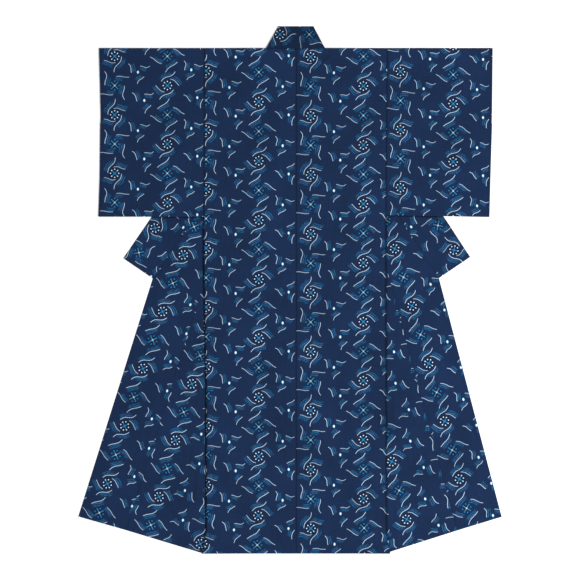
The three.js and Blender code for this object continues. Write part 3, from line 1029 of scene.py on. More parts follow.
def sleeve_stretches(side):
    """Two layers joined at the shoulder, along the bottom and below the wrist opening."""
    place = SIDES[side]
    sign = place["sign"]
    sizes = bpy.context.scene.kimono_cloth
    seam_roll, edge_roll = roll_sizes()
    rows = row_places([0, WRIST_OPENING, SLEEVE_LENGTH])
    edge = look_up(SLEEVE_EDGE, side, rows)
    width = edge - look_up(SIDE_EDGE, side, rows)
    shares = spread(width, SLEEVE_STEPS_ACROSS, True, True)
    down = rows[:, None] / SLEEVE_LENGTH * mix(*place["sleeve_bottom"], shares)
    inner = look_up(SIDE_EDGE, side, down)
    out = mix(inner, look_up(SLEEVE_EDGE, side, np.minimum(down, SLEEVE_LENGTH)), shares)
    x = sign * out
    from_inner = shares * width[:, None]
    from_outer = (1 - shares) * width[:, None]
    at_wrist = 1 - smooth(down, WRIST_OPENING - 12, WRIST_OPENING)
    wrist_edge = mix(1, edge_profile(from_outer, edge_roll), at_wrist)
    pressed = np.exp(-(((from_outer - sizes.pressed_line / MM) / 1.1) ** 2))
    thin = edge_profile(from_inner, seam_roll) * wrist_edge * (1 - 0.45 * pressed)
    # Painted shade along the armhole seam and along the pressed line inside the outer edge
    seam = np.maximum(
        SEAM_DEPTH_AND_PAINTED_SHADE["armhole"] * (1 - smooth(from_inner, 0, seam_roll)), SEAM_DEPTH_AND_PAINTED_SHADE["pressed"] * pressed
    )
    level = second_layer(x, down) + relief(x, down, 3)
    name = f"sleeve_{side}"
    back = stretch_of_cloth(x, down, level + LAYER_STEP, UP, cloth_place(name, x, down), thin, seam)
    front = stretch_of_cloth(x, down, level, DOWN, cloth_place(name, x, -down), thin, seam)
    whole = slice(None)
    top = turned(edge_of(back, 0, whole), edge_of(front, 0, whole), TOWARDS_COLLAR)
    foot = turned(edge_of(back, -1, whole), edge_of(front, -1, whole), TOWARDS_HEM)
    closed = np.flatnonzero(rows >= WRIST_OPENING)
    outwards = np.array((sign, 0.0, 0.0))
    outer_edge = turned(edge_of(back, closed, -1), edge_of(front, closed, -1), outwards)
    return [back, top, front, foot, outer_edge]


def add(tree, kind, inputs=(), output=0, **settings):
    """Adds a node with its settings, sets or links its inputs, and gives one of its outputs."""
    node = tree.nodes.new(kind)
    for name, value in settings.items():
        setattr(node, name, value)
    named = inputs.items() if isinstance(inputs, dict) else enumerate(inputs)
    for socket, value in named:
        if isinstance(value, bpy.types.NodeSocket):
            tree.links.new(value, node.inputs[socket])
        else:
            node.inputs[socket].default_value = value
    return node.outputs[output]


def new_group(name, inputs, outputs):
    """An empty shader group with named sockets, and its input node's outputs by name."""
    group = bpy.data.node_groups.new(name, "ShaderNodeTree")
    for socket, kind, value in inputs:
        made = group.interface.new_socket(socket, in_out="INPUT", socket_type=kind)
        if value is not None:
            made.default_value = value
    for socket in outputs:
        group.interface.new_socket(socket, in_out="OUTPUT", socket_type="NodeSocketFloat")
    entry = group.nodes.new("NodeGroupInput")
    return group, {socket.name: socket for socket in entry.outputs}


def strand_group(chart):
    """A pale line with blue strands beside it. Place runs 0 to 1 along the line, in mm across it.
    Wander moves the strands aside in mm, and Grain is how much blue each thread took."""
    half_line = chart.line_width / MM / 2
    half_strand = chart.strand_width / MM / 2
    blur = 0.3
    bled_share = 0.1
    group, given = new_group("strand bundle", [
        ("Place", "NodeSocketVector", None),
        ("Wander", "NodeSocketFloat", 0.0),
        ("Grain", "NodeSocketFloat", 1.0),
        *((name.capitalize(), "NodeSocketFloat", float(value)) for name, value in STRANDS.items()),
    ], ["Undyed", "Blue"])
    split = group.nodes.new("ShaderNodeSeparateXYZ")
    group.links.new(given["Place"], split.inputs[0])
    along, aside = split.outputs[0], split.outputs[1]
    full_turn = add(group, "ShaderNodeMath", (along, 2 * math.pi), operation="MULTIPLY")
    half_turn = add(group, "ShaderNodeMath", (along, math.pi), operation="MULTIPLY")
    s_bend = add(group, "ShaderNodeMath", (full_turn,), operation="SINE")
    bow = add(group, "ShaderNodeMath", (half_turn,), operation="SINE")
    wave = add(group, "ShaderNodeMath", (s_bend, given["Wave"]), operation="MULTIPLY")
    bend = add(group, "ShaderNodeMath", (bow, given["Arc"], wave), operation="MULTIPLY_ADD")
    level = add(group, "ShaderNodeMath", (aside, bend), operation="SUBTRACT")
    from_middle = add(group, "ShaderNodeMath", (along, 0.5), operation="SUBTRACT")
    far = add(group, "ShaderNodeMath", (from_middle,), operation="ABSOLUTE")
    within = add(group, "ShaderNodeMapRange", (far, 0.52, 0.47, 0.0, 1.0))
    off_line = add(group, "ShaderNodeMath", (level,), operation="ABSOLUTE")
    on_line = add(group, "ShaderNodeMapRange", (off_line, half_line + blur, half_line - blur, 0.0, 1.0))
    undyed = add(group, "ShaderNodeMath", (on_line, within), operation="MULTIPLY")
    undyed = add(group, "ShaderNodeMath", (undyed, given["Share"]), operation="MULTIPLY")

    wandered = add(group, "ShaderNodeMath", (level, given["Wander"]), operation="ADD")
    strand = add(group, "ShaderNodeMath", (wandered, given["Pitch"]), operation="DIVIDE")
    nearest = add(group, "ShaderNodeMath", (strand,), operation="ROUND")
    number = add(group, "ShaderNodeClamp", (nearest, given["First"], given["Last"]))
    middle = add(group, "ShaderNodeMath", (number, given["Pitch"]), operation="MULTIPLY")
    off_strand = add(group, "ShaderNodeMath", (wandered, middle), operation="SUBTRACT")
    off_strand = add(group, "ShaderNodeMath", (off_strand,), operation="ABSOLUTE")
    on_strand = add(
        group, "ShaderNodeMapRange", (off_strand, half_strand + blur, half_strand - blur, 0.0, 1.0),
    )
    # Each strand further from the line is a little paler
    further_off = add(group, "ShaderNodeMath", (number, -0.22, 1.2), operation="MULTIPLY_ADD")
    on_strand = add(group, "ShaderNodeMath", (on_strand, further_off), operation="MULTIPLY")

    # Blue that bled between the strands, from the line out to the last of them
    past_line = add(group, "ShaderNodeMapRange", (level, half_line, half_line + 1.2, 0.0, 1.0))
    past_last = add(group, "ShaderNodeMath", (strand, given["Last"]), operation="SUBTRACT")
    before_last = add(group, "ShaderNodeMapRange", (past_last, 0.35, -0.35, 0.0, bled_share))
    bled = add(group, "ShaderNodeMath", (past_line, before_last), operation="MULTIPLY")
    blue = add(group, "ShaderNodeMath", (on_strand, bled), operation="MAXIMUM")

    shift = add(group, "ShaderNodeMath", (number, given["Lead"], given["Shift"]), operation="MULTIPLY_ADD")
    from_shift = add(group, "ShaderNodeMath", (from_middle, shift), operation="SUBTRACT")
    from_shift = add(group, "ShaderNodeMath", (from_shift,), operation="ABSOLUTE")
    left = add(group, "ShaderNodeMath", (given["Span"], 0.5), operation="MULTIPLY")
    left = add(group, "ShaderNodeMath", (left, from_shift), operation="SUBTRACT")
    beside = add(group, "ShaderNodeMapRange", (left, -0.07, 0.11, 0.0, 1.0))
    blue = add(group, "ShaderNodeMath", (blue, beside), operation="MULTIPLY")
    blue = add(group, "ShaderNodeMath", (blue, given["Grain"]), operation="MULTIPLY", use_clamp=True)
    leave = group.nodes.new("NodeGroupOutput")
    group.links.new(undyed, leave.inputs["Undyed"])
    group.links.new(blue, leave.inputs["Blue"])
    return group


def rosette_group():
    """A ring of eight dots round a cross of four slanting arms. Lengths are in mm."""
    group, given = new_group("rosette", [
        ("Place", "NodeSocketVector", None),
        ("Ring", "NodeSocketFloat", 12.5),
        ("Dot", "NodeSocketFloat", 2.2),
        ("Arm", "NodeSocketFloat", 1.0),
        ("Reach", "NodeSocketFloat", 9.5),
        ("Heart", "NodeSocketFloat", 4.0),
    ], ["Disc", "Dots", "Cross", "Heart"])
    split = group.nodes.new("ShaderNodeSeparateXYZ")
    group.links.new(given["Place"], split.inputs[0])
    radius = add(group, "ShaderNodeVectorMath", (given["Place"],), output=1, operation="LENGTH")
    angle = add(group, "ShaderNodeMath", (split.outputs[1], split.outputs[0]), operation="ARCTAN2")
    petal = add(group, "ShaderNodeMath", (angle, math.pi / 8, -math.pi / 8), operation="WRAP")
    petal_cos = add(group, "ShaderNodeMath", (petal,), operation="COSINE")
    petal_sin = add(group, "ShaderNodeMath", (petal,), operation="SINE")
    towards = add(group, "ShaderNodeMath", (radius, petal_cos), operation="MULTIPLY")
    towards = add(group, "ShaderNodeMath", (towards, given["Ring"]), operation="SUBTRACT")
    beside = add(group, "ShaderNodeMath", (radius, petal_sin), operation="MULTIPLY")
    place = add(group, "ShaderNodeCombineXYZ", (towards, beside, 0.0))
    gap = add(group, "ShaderNodeVectorMath", (place,), output=1, operation="LENGTH")
    into_dot = add(group, "ShaderNodeMath", (given["Dot"], gap), operation="SUBTRACT")
    dots = add(group, "ShaderNodeMapRange", (into_dot, -0.35, 0.35, 0.0, 1.0))
    turned_by = add(group, "ShaderNodeMath", (angle, math.pi / 4), operation="SUBTRACT")
    arm = add(group, "ShaderNodeMath", (turned_by, math.pi / 4, -math.pi / 4), operation="WRAP")
    arm_sin = add(group, "ShaderNodeMath", (arm,), operation="SINE")
    off_arm = add(group, "ShaderNodeMath", (radius, arm_sin), operation="MULTIPLY")
    off_arm = add(group, "ShaderNodeMath", (off_arm,), operation="ABSOLUTE")
    into_arm = add(group, "ShaderNodeMath", (given["Arm"], off_arm), operation="SUBTRACT")
    on_arm = add(group, "ShaderNodeMapRange", (into_arm, -0.3, 0.3, 0.0, 1.0))
    arm_left = add(group, "ShaderNodeMath", (given["Reach"], radius), operation="SUBTRACT")
    arm_left = add(group, "ShaderNodeMapRange", (arm_left, -0.6, 0.6, 0.0, 1.0))
    cross = add(group, "ShaderNodeMath", (on_arm, arm_left), operation="MULTIPLY")
    into_heart = add(group, "ShaderNodeMath", (given["Heart"], radius), operation="SUBTRACT")
    heart = add(group, "ShaderNodeMapRange", (into_heart, -1.0, 1.0, 0.0, 1.0))
    heart = add(group, "ShaderNodeMath", (heart, on_arm), operation="MULTIPLY")
    past_ring = add(group, "ShaderNodeMath", (radius, given["Ring"]), operation="SUBTRACT")
    disc = add(group, "ShaderNodeMapRange", (past_ring, 5.5, 3.5, 0.0, 1.0))
    leave = group.nodes.new("NodeGroupOutput")
    for socket, value in {"Disc": disc, "Dots": dots, "Cross": cross, "Heart": heart}.items():
        group.links.new(value, leave.inputs[socket])
    return group


def charted_pattern(tree, place, chart):
    """The whole repeat, as one mask for each colour of thread. Place is in mm of cloth."""
    strands = strand_group(chart)
    rosette = rosette_group()
    column = chart.column_pitch / MM
    row = chart.row_pitch / MM
    masks = {}
    wander = add(tree, "ShaderNodeTexNoise", {"Vector": place, "Scale": 1 / 16, "Detail": 1.0})
    wander = add(tree, "ShaderNodeMapRange", (wander, 0.3, 0.7, -1.6, 1.6))
    thread_place = add(tree, "ShaderNodeVectorMath", (place, (1 / 3, 1 / 12, 0)), operation="MULTIPLY")
    grain = add(tree, "ShaderNodeTexNoise", {"Vector": thread_place, "Scale": 1.0, "Detail": 1.0})
    grain = add(tree, "ShaderNodeMapRange", (grain, 0.34, 0.66, 0.3, 1.2))

    def join(thread, mask, share=1.0):
        if share != 1:
            mask = add(tree, "ShaderNodeMath", (mask, share), operation="MULTIPLY")
        if thread in masks:
            mask = add(tree, "ShaderNodeMath", (masks[thread], mask), operation="MAXIMUM")
        masks[thread] = mask

    for name, motif in MOTIFS.items():
        beside = motif["beside"]
        centre = (motif["column"] * column + beside[0], motif["row"] * row + beside[1], 0)
        moved = add(tree, "ShaderNodeVectorMath", (place, centre), operation="SUBTRACT")
        repeat = ((column, row, 1), (-column, -row, -1))
        local = add(tree, "ShaderNodeVectorMath", (moved, *repeat), operation="WRAP")
        if motif["kind"] == "drop":
            scale = (1 / DROP[0], 1 / DROP[1], 1)
            oval = add(tree, "ShaderNodeVectorMath", (local, scale), operation="MULTIPLY")
            gap = add(tree, "ShaderNodeVectorMath", (oval,), output=1, operation="LENGTH")
            join("bright", add(tree, "ShaderNodeMapRange", (gap, 0.85, 0.6, 0.0, 1.0)))
            join("light", add(tree, "ShaderNodeMapRange", (gap, 1.1, 0.9, 0.0, 1.0)))
        else:
            flower = tree.nodes.new("ShaderNodeGroup")
            flower.node_tree = rosette
            tree.links.new(local, flower.inputs["Place"])
            known = ROSETTES[motif["kind"]]
            for socket, value in known["sizes"].items():
                flower.inputs[socket].default_value = value
            for form, (thread, share) in known["threads"].items():
                join(thread, flower.outputs[form], share)
        for bundle in BUNDLES:
            if bundle["motif"] != name:
                continue
            start, end = bundle["start"], bundle["end"]
            run = (end[0] - start[0], end[1] - start[1])
            towards = ((start[0] + end[0]) / 2, (start[1] + end[1]) / 2, 0)
            here = local
            if motif["kind"] != "drop":
                facing = add(
                    tree, "ShaderNodeVectorMath", (local, towards), output=1, operation="DOT_PRODUCT",
                )
                half = add(tree, "ShaderNodeMath", (facing,), operation="SIGN")
                here = add(tree, "ShaderNodeVectorMath", {0: local, "Scale": half}, operation="SCALE")
            framed = add(tree, "ShaderNodeMapping", {
                "Vector": here,
                "Location": (*start, 0),
                "Rotation": (0, 0, math.atan2(run[1], run[0])),
                "Scale": (math.hypot(*run), bundle["side"], 1),
            }, vector_type="TEXTURE")
            drawn = tree.nodes.new("ShaderNodeGroup")
            drawn.node_tree = strands
            for socket, value in {"Place": framed, "Wander": wander, "Grain": grain}.items():
                tree.links.new(value, drawn.inputs[socket])
            for setting, usual in STRANDS.items():
                drawn.inputs[setting.capitalize()].default_value = bundle.get(setting, usual)
            join("pale", drawn.outputs["Undyed"])
            join("blue", drawn.outputs["Blue"])
    return masks


def kasuri_cotton():
    """Plain-woven cotton whose threads were tied and dyed in indigo before weaving. The eye gets
    a dry, dull, slightly uneven navy, white marks with soft ends, and hardly any gloss."""
    name = "Indigo kasuri cotton, plain weave"
    known = bpy.data.materials.get(name)
    if known:
        return known
    scene = bpy.context.scene
    dye = scene.kimono_dye
    chart = scene.kimono_chart
    material = bpy.data.materials.new(name)
    material.use_nodes = True
    tree = material.node_tree
    tree.nodes.clear()
    map_place = add(tree, "ShaderNodeUVMap", uv_map=CLOTH_MAP)
    cloth = add(tree, "ShaderNodeVectorMath", {0: map_place, "Scale": 1 / MM}, operation="SCALE")

    # Each warp thread slips a little along its length, so that marks end in soft, uneven tips
    thread_place = add(tree, "ShaderNodeVectorMath", (cloth, (1 / 0.9, 1 / 22, 0)), operation="MULTIPLY")
    slip = add(tree, "ShaderNodeTexNoise", {"Vector": thread_place, "Scale": 1.0, "Detail": 1.0})
    slip = add(tree, "ShaderNodeMath", (slip, 0.5), operation="SUBTRACT")
    slip = add(tree, "ShaderNodeMath", (slip, 4 * chart.bleed / MM), operation="MULTIPLY")
    slip = add(tree, "ShaderNodeCombineXYZ", (0.0, slip, 0.0))
    slipped = add(tree, "ShaderNodeVectorMath", (cloth, slip), operation="ADD")
    masks = charted_pattern(tree, slipped, chart)

    # The dye took unevenly: broad clouds, and finer streaks along both threads
    clouds = add(tree, "ShaderNodeTexNoise", {"Vector": map_place, "Scale": 7.0, "Detail": 3.0})
    warp_place = add(tree, "ShaderNodeVectorMath", (cloth, (1 / 1.6, 1 / 60, 0)), operation="MULTIPLY")
    warp = add(tree, "ShaderNodeTexNoise", {"Vector": warp_place, "Scale": 1.0, "Detail": 2.0})
    weft_place = add(tree, "ShaderNodeVectorMath", (cloth, (1 / 60, 1 / 1.6, 0)), operation="MULTIPLY")
    weft = add(tree, "ShaderNodeTexNoise", {"Vector": weft_place, "Scale": 1.0, "Detail": 2.0})
    streaks = add(tree, "ShaderNodeMath", (warp, weft), operation="ADD")
    depth = add(tree, "ShaderNodeMapRange", (clouds, 0.3, 0.7, 0.85, 1.15))
    depth = add(tree, "ShaderNodeMath", (streaks, 0.6, depth), operation="MULTIPLY_ADD")
    depth = add(tree, "ShaderNodeMath", (depth, 0.6), operation="SUBTRACT")

    # Painted shade: cloth in a seam or a pressed crease is darkened, and cloth just past the edge of
    # the layer above gets a painted shadow, both multiplied into the colour where shade falls
    seam = add(tree, "ShaderNodeAttribute", output=2, attribute_name="seam")
    seam_painted_shade = add(tree, "ShaderNodeMapRange", (seam, 0.0, 1.0, 1.0, 0.35))
    tucked = add(tree, "ShaderNodeAttribute", output=2, attribute_name="tucked")
    tucked_painted_shadow = add(
        tree, "ShaderNodeMapRange", (tucked, 0.0, 7.0, 0.3, 1.0), interpolation_type="SMOOTHSTEP",
    )
    painted_shade = add(tree, "ShaderNodeMath", (seam_painted_shade, tucked_painted_shadow), operation="MULTIPLY")
    depth = add(tree, "ShaderNodeMath", (depth, painted_shade), operation="MULTIPLY")

    colour = (*dye.indigo, 1)
    layers = [
        ("deep", dye.indigo_deep, 0.85), ("blue", dye.half_blue, 0.95), ("clear", dye.clear_blue, 0.95),
        ("light", dye.light_blue, 0.9), ("pale", dye.undyed, 0.95), ("bright", dye.bright, 1.0),
    ]
    for mask, thread, cover in layers:
        share = add(tree, "ShaderNodeMath", (masks[mask], cover), operation="MULTIPLY")
        colour = add(
            tree, "ShaderNodeMix", {0: share, 6: colour, 7: (*thread, 1)}, output=2, data_type="RGBA",
        )
    shaded = add(tree, "ShaderNodeVectorMath", {0: colour, "Scale": depth}, operation="SCALE")

    # Threads of a plain weave, over and under. Real ones are half a millimetre apart, drawn here
    # at 1.1 mm so that they show in a close view.
    thread_turn = 2 * math.pi / 1.1
    waves = add(tree, "ShaderNodeVectorMath", (cloth, (thread_turn, thread_turn, 0)), operation="MULTIPLY")
    split = tree.nodes.new("ShaderNodeSeparateXYZ")
    tree.links.new(waves, split.inputs[0])
    over = add(tree, "ShaderNodeMath", (split.outputs[0],), operation="SINE")
    under = add(tree, "ShaderNodeMath", (split.outputs[1],), operation="SINE")
    weave = add(tree, "ShaderNodeMath", (over, under), operation="MULTIPLY")
    weave = add(tree, "ShaderNodeMath", (weave, 0.35, streaks), operation="MULTIPLY_ADD")
    bump = add(tree, "ShaderNodeBump", {"Height": weave, "Strength": 0.5, "Distance": 0.00025})

    surface = tree.nodes.new("ShaderNodeBsdfPrincipled")
    tree.links.new(shaded, surface.inputs["Base Color"])
    tree.links.new(bump, surface.inputs["Normal"])
    surface.inputs["Roughness"].default_value = 0.86
    surface.inputs["Specular IOR Level"].default_value = 0.1
    surface.inputs["Sheen Weight"].default_value = 0.03
    surface.inputs["Sheen Roughness"].default_value = 0.5
    surface.inputs["Sheen Tint"].default_value = (0.55, 0.65, 0.9, 1)
    leave = tree.nodes.new("ShaderNodeOutputMaterial")
    tree.links.new(surface.outputs[0], leave.inputs[0])
    return material


def cotton_thread():
    """Cotton sewing thread, twisted from two yarns and dyed navy. It is a little glossier than the
    cloth, and its twist shows as fine slanting ridges. Its colour is lighter where the ridges stand
    high, a painted highlight on the ridge tops, and it varies with fine fibre noise."""
    name = "Navy cotton thread, twisted"
    known = bpy.data.materials.get(name)
    if known:
        return known
    material = bpy.data.materials.new(name)
    material.use_nodes = True
    tree = material.node_tree
    tree.nodes.clear()
    place = add(tree, "ShaderNodeTexCoord", output="Object")
    # Two ridges of twist to each 0.6 mm of thread
    twist = add(
        tree, "ShaderNodeTexWave", {"Vector": place, "Scale": 500.0, "Distortion": 1.5, "Detail": 1.0},
        output="Fac", bands_direction="DIAGONAL",
    )
    fibres = add(tree, "ShaderNodeTexNoise", {"Vector": place, "Scale": 3000.0, "Detail": 2.0})
    ridges = add(tree, "ShaderNodeMath", (fibres, 0.4, twist), operation="MULTIPLY_ADD")
    fibres_and_painted_highlight = add(tree, "ShaderNodeMapRange", (ridges, 0.2, 1.3, 0.0, 1.0))
    colour = add(
        tree, "ShaderNodeMix",
        {0: fibres_and_painted_highlight, 6: (*linear("#0F1A31"), 1), 7: (*linear("#26375C"), 1)}, output=2, data_type="RGBA",
    )
    bump = add(tree, "ShaderNodeBump", {"Height": ridges, "Strength": 0.6, "Distance": 0.00006})
    surface = tree.nodes.new("ShaderNodeBsdfPrincipled")
    tree.links.new(colour, surface.inputs["Base Color"])
    tree.links.new(bump, surface.inputs["Normal"])
    surface.inputs["Roughness"].default_value = 0.68
    surface.inputs["Specular IOR Level"].default_value = 0.3
    leave = tree.nodes.new("ShaderNodeOutputMaterial")
    tree.links.new(surface.outputs[0], leave.inputs[0])
    return material


def sewn_line(stretch, edge, top=0, foot=BACK_LENGTH):
    """Places on the cloth's outer face, a fixed way in from its last row or its last column."""
    inset = bpy.context.scene.kimono_stitching.inset / MM
    at = stretch["at"] + stretch["face"] * stretch["thick"][..., None] / 2
    crossing = (at.swapaxes(0, 1) if edge == "hem" else at)[:, ::-1]
    distance = np.linalg.norm(crossing - crossing[:, :1], axis=-1)
    line = np.array([
        [np.interp(inset, way, places[:, axis]) for axis in range(3)]
        for way, places in zip(distance, crossing)
    ])
    return line[(-line[:, 1] >= top) & (-line[:, 1] <= foot)]


def sewn_lines(side):
    """Each piece's rows of hand stitches: every hem, the open front edge and the wrist opening."""
    back, *_, flared = body_stretches(side)
    sleeve_back, _, sleeve_front, *_ = sleeve_stretches(side)
    overlap = overlap_stretch(side)
    front_edge_top = SIDES[side]["collar_inner_end"][1] + 6
    return {
        f"body_panel_{side}": [sewn_line(back, "hem"), sewn_line(flared, "hem")],
        f"overlap_panel_{side}": [
            sewn_line(overlap, "hem"), sewn_line(overlap, "side", top=front_edge_top),
        ],
        f"collar_strip_{side}": [sewn_line(collar_stretch(side), "hem")],
        f"sleeve_cloth_{side}": [
            sewn_line(sleeve_back, "side", foot=WRIST_OPENING),
            sewn_line(sleeve_front, "side", foot=WRIST_OPENING),
        ],
    }


def stitching_tree():
    """Geometry Nodes that set short stitches along each line of a mesh, all a little out of true."""
    tree = bpy.data.node_groups.new("hand stitches", "GeometryNodeTree")
    sockets = {"Lines": "Geometry", "Spacing": "Float", "Length": "Float", "Thread": "Float", "Seed": "Int"}
    for name, kind in sockets.items():
        tree.interface.new_socket(name, in_out="INPUT", socket_type=f"NodeSocket{kind}")
    tree.interface.new_socket("Stitches", in_out="OUTPUT", socket_type="NodeSocketGeometry")
    entry = tree.nodes.new("NodeGroupInput")
    given = {socket.name: socket for socket in entry.outputs}
    curves = add(tree, "GeometryNodeMeshToCurve", {"Mesh": given["Lines"]})
    spaced = add(
        tree, "GeometryNodeResampleCurve", {"Curve": curves, "Length": given["Spacing"]}, mode="LENGTH",
    )
    off, slant = 0.5 * MM, 0.2
    aside = add(
        tree, "FunctionNodeRandomValue", {0: (-off, -off, 0), 1: (off, off, 0), 8: given["Seed"]},
        data_type="FLOAT_VECTOR",
    )
    placed = add(tree, "GeometryNodeSetPosition", {"Geometry": spaced, "Offset": aside})
    tangent = add(tree, "GeometryNodeInputTangent")
    turn_seed = add(tree, "ShaderNodeMath", (given["Seed"], 1.0), operation="ADD")
    lean = add(
        tree, "FunctionNodeRandomValue", {0: (-slant, -slant, 0), 1: (slant, slant, 0), 8: turn_seed},
        data_type="FLOAT_VECTOR",
    )
    leaning = add(tree, "ShaderNodeVectorMath", (tangent, lean), operation="ADD")
    facing = add(tree, "FunctionNodeAlignRotationToVector", {"Vector": leaning}, axis="X")
    size_seed = add(tree, "ShaderNodeMath", (given["Seed"], 2.0), operation="ADD")
    uneven = add(
        tree, "FunctionNodeRandomValue", {2: 0.75, 3: 1.2, 8: size_seed}, output=1, data_type="FLOAT",
    )
    size = add(tree, "ShaderNodeCombineXYZ", (given["Length"], given["Thread"], given["Thread"]))
    size = add(tree, "ShaderNodeVectorMath", {0: size, "Scale": uneven}, operation="SCALE")
    stitch = add(tree, "GeometryNodeMeshUVSphere", {"Segments": 8, "Rings": 5, "Radius": 0.5})
    stitch = add(tree, "GeometryNodeSetShadeSmooth", {"Geometry": stitch})
    sewn = add(tree, "GeometryNodeInstanceOnPoints", {
        "Points": placed, "Instance": stitch, "Rotation": facing, "Scale": size,
    })
    real = add(tree, "GeometryNodeRealizeInstances", {"Geometry": sewn})
    threaded = add(tree, "GeometryNodeSetMaterial", {"Geometry": real, "Material": cotton_thread()})
    leave = tree.nodes.new("NodeGroupOutput")
    tree.links.new(threaded, leave.inputs["Stitches"])
    return tree


def sew(piece, lines, tree):
    """Hand stitches along the lines of one piece, as a plain mesh that goes with it."""
    sizes = bpy.context.scene.kimono_stitching
    rows = np.cumsum([0] + [len(line) for line in lines])
    edges = [(i, i + 1) for start, end in zip(rows, rows[1:]) for i in range(start, end - 1)]
    mesh = bpy.data.meshes.new(f"hand_stitches_{piece.name}")
    mesh.from_pydata(on_the_part(np.concatenate(lines)).tolist(), edges, [])
    stitches = bpy.data.objects.new(mesh.name, mesh)
    bpy.context.scene.collection.objects.link(stitches)
    values = {"Spacing": sizes.spacing, "Length": sizes.length, "Thread": sizes.thread, "Seed": sizes.seed}
    modifier = stitches.modifiers.new("hand stitches", "NODES")
    modifier.node_group = tree
    for socket in tree.interface.items_tree:
        if socket.in_out == "INPUT" and socket.name in values:
            modifier[socket.identifier] = values[socket.name]
    evaluated = stitches.evaluated_get(bpy.context.evaluated_depsgraph_get())
    sewn = bpy.data.meshes.new_from_object(evaluated)
    stitches.modifiers.remove(modifier)
    stitches.data = sewn
    bpy.data.meshes.remove(mesh)
    sewn.name = stitches.name
    if not sewn.polygons:
        raise RuntimeError(f"{stitches.name}: no stitch was made")
    stitches.parent = piece
    stitches.matrix_parent_inverse = piece.matrix_world.inverted()


class KIMONO_OT_body_panels(Operator):
    """Makes the two body panels, each one length from the back hem over the shoulder to the front hem"""

    bl_idname = "kimono.body_panels"
    bl_label = "Body panels"

    def execute(self, context):
        for side in SIDES:
            mesh = cloth_mesh(f"body_panel_{side}", body_stretches(side))
            finish_piece(mesh, f"body_{side}")
        return {"FINISHED"}


class KIMONO_OT_overlap_panels(Operator):
    """Makes the long pointed panels that are sewn to both front edges"""

    bl_idname = "kimono.overlap_panels"
    bl_label = "Overlap panels"

    def execute(self, context):
        for side, area in (("left", 0.156), ("right", 0.144)):
            mesh = cloth_mesh(f"overlap_panel_{side}", [overlap_stretch(side)])
            finish_piece(mesh, f"okumi_{side}")
        return {"FINISHED"}


class KIMONO_OT_sleeves(Operator):
    """Makes both sleeves, folded at the shoulder line and open at the wrist"""

    bl_idname = "kimono.sleeves"
    bl_label = "Sleeves"

    def execute(self, context):
        for side in SIDES:
            mesh = cloth_mesh(f"sleeve_cloth_{side}", sleeve_stretches(side))
            finish_piece(mesh, f"sleeve_{side}")
        return {"FINISHED"}


class KIMONO_OT_collar(Operator):
    """Makes the collar: the folded part at the neck and both lengths down the fronts"""

    bl_idname = "kimono.collar"
    bl_label = "Collar"

    def execute(self, context):
        for side in SIDES:
            mesh = cloth_mesh(f"collar_strip_{side}", [collar_stretch(side)])
            finish_piece(mesh, f"collar_{side}")
        mesh = cloth_mesh("collar_strip_neck", neck_stretches())
        finish_piece(mesh, "collar_neck")
        return {"FINISHED"}


class KIMONO_OT_hand_stitches(Operator):
    """Sews the small stitches that hold the hems, the front edges and the wrist openings"""

    bl_idname = "kimono.hand_stitches"
    bl_label = "Hand stitches"

    def execute(self, context):
        tree = stitching_tree()
        for side in SIDES:
            for name, lines in sewn_lines(side).items():
                sew(context.scene.objects[name], lines, tree)
        return {"FINISHED"}


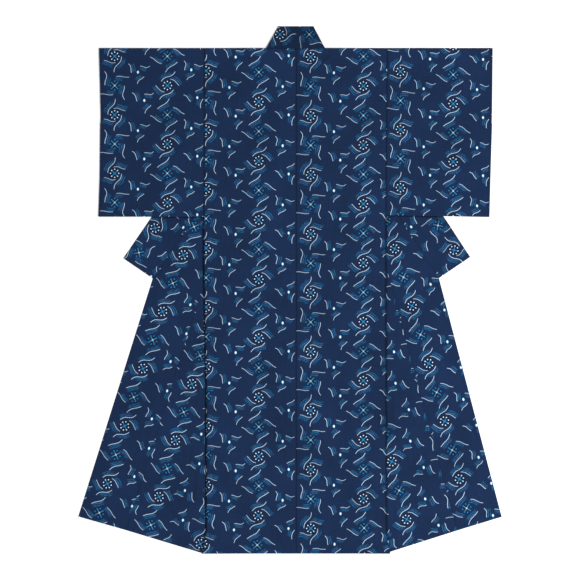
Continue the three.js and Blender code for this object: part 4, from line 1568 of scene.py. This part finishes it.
class KIMONO_OT_stage(Operator):
    """Makes the camera straight above, the soft light and the pale floor"""

    bl_idname = "kimono.stage"
    bl_label = "Stage"

    def execute(self, context):
        stage = context.scene.kimono_stage
        eye = bpy.data.cameras.new("camera")
        eye.lens = 200
        eye.sensor_width = 36
        eye.clip_end = 60
        camera = bpy.data.objects.new("camera", eye)
        camera.location = (0, 0, stage.frame_width * eye.lens / eye.sensor_width)
        context.scene.collection.objects.link(camera)
        context.scene.camera = camera

        key = bpy.data.lights.new("soft_key", "AREA")
        key.shape = "DISK"
        key.size = stage.key_size
        key.energy = stage.key_power
        lamp = bpy.data.objects.new("soft_key", key)
        lamp.location = stage.key_place
        lamp.rotation_euler = (-lamp.location).to_track_quat("-Z", "Y").to_euler()
        context.scene.collection.objects.link(lamp)

        world = bpy.data.worlds.new("even_white")
        world.use_nodes = True
        light = world.node_tree.nodes["Background"]
        light.inputs["Color"].default_value = (1, 1, 1, 1)
        light.inputs["Strength"].default_value = stage.fill_strength
        context.scene.world = world
        context.scene.view_settings.view_transform = "Standard"

        half = stage.floor_width / 2
        mesh = bpy.data.meshes.new("floor")
        corners = [(-half, -half, 0), (half, -half, 0), (half, half, 0), (-half, half, 0)]
        mesh.from_pydata(corners, [], [(0, 1, 2, 3)])
        floor = bpy.data.objects.new("floor", mesh)
        # Smooth uncoated paper: pure white, with no shine for the eye to catch
        paper = bpy.data.materials.new("Matt white paper")
        paper.use_nodes = True
        surface = paper.node_tree.nodes["Principled BSDF"]
        surface.inputs["Base Color"].default_value = (*linear("#FFFFFF"), 1)
        surface.inputs["Roughness"].default_value = 0.95
        surface.inputs["Specular IOR Level"].default_value = 0.1
        mesh.materials.append(paper)
        context.scene.collection.objects.link(floor)
        floor.location.z = -0.0002
        return {"FINISHED"}


class KIMONO_PT_pieces(Panel):
    """The pieces of the kimono, in the order that they are made"""

    bl_idname = "KIMONO_PT_pieces"
    bl_label = "Kasuri kimono"
    bl_space_type = "VIEW_3D"
    bl_region_type = "UI"
    bl_category = "Kimono"

    def draw(self, context):
        for operator in OPERATORS:
            self.layout.operator(operator.bl_idname)
        for group in SETTINGS:
            settings = getattr(context.scene, group)
            for name in settings.bl_rna.properties.keys():
                if name not in ("name", "rna_type"):
                    self.layout.prop(settings, name)


OPERATORS = (
    KIMONO_OT_stage, KIMONO_OT_body_panels, KIMONO_OT_overlap_panels, KIMONO_OT_sleeves,
    KIMONO_OT_collar, KIMONO_OT_hand_stitches,
)
SETTINGS = {
    "kimono_cloth": KimonoCloth,
    "kimono_chart": KimonoChart,
    "kimono_dye": KimonoDye,
    "kimono_stitching": KimonoStitching,
    "kimono_stage": KimonoStage,
}
CLASSES = (*SETTINGS.values(), *OPERATORS, KIMONO_PT_pieces)


def register():
    for one in CLASSES:
        bpy.utils.register_class(one)
    for name, group in SETTINGS.items():
        setattr(bpy.types.Scene, name, PointerProperty(type=group))


def unregister():
    for name in SETTINGS:
        delattr(bpy.types.Scene, name)
    for one in reversed(CLASSES):
        bpy.utils.unregister_class(one)


def main():
    register()
    for operator in OPERATORS:
        family, action = operator.bl_idname.split(".")
        getattr(getattr(bpy.ops, family), action)()


if __name__ == "__main__":
    main()
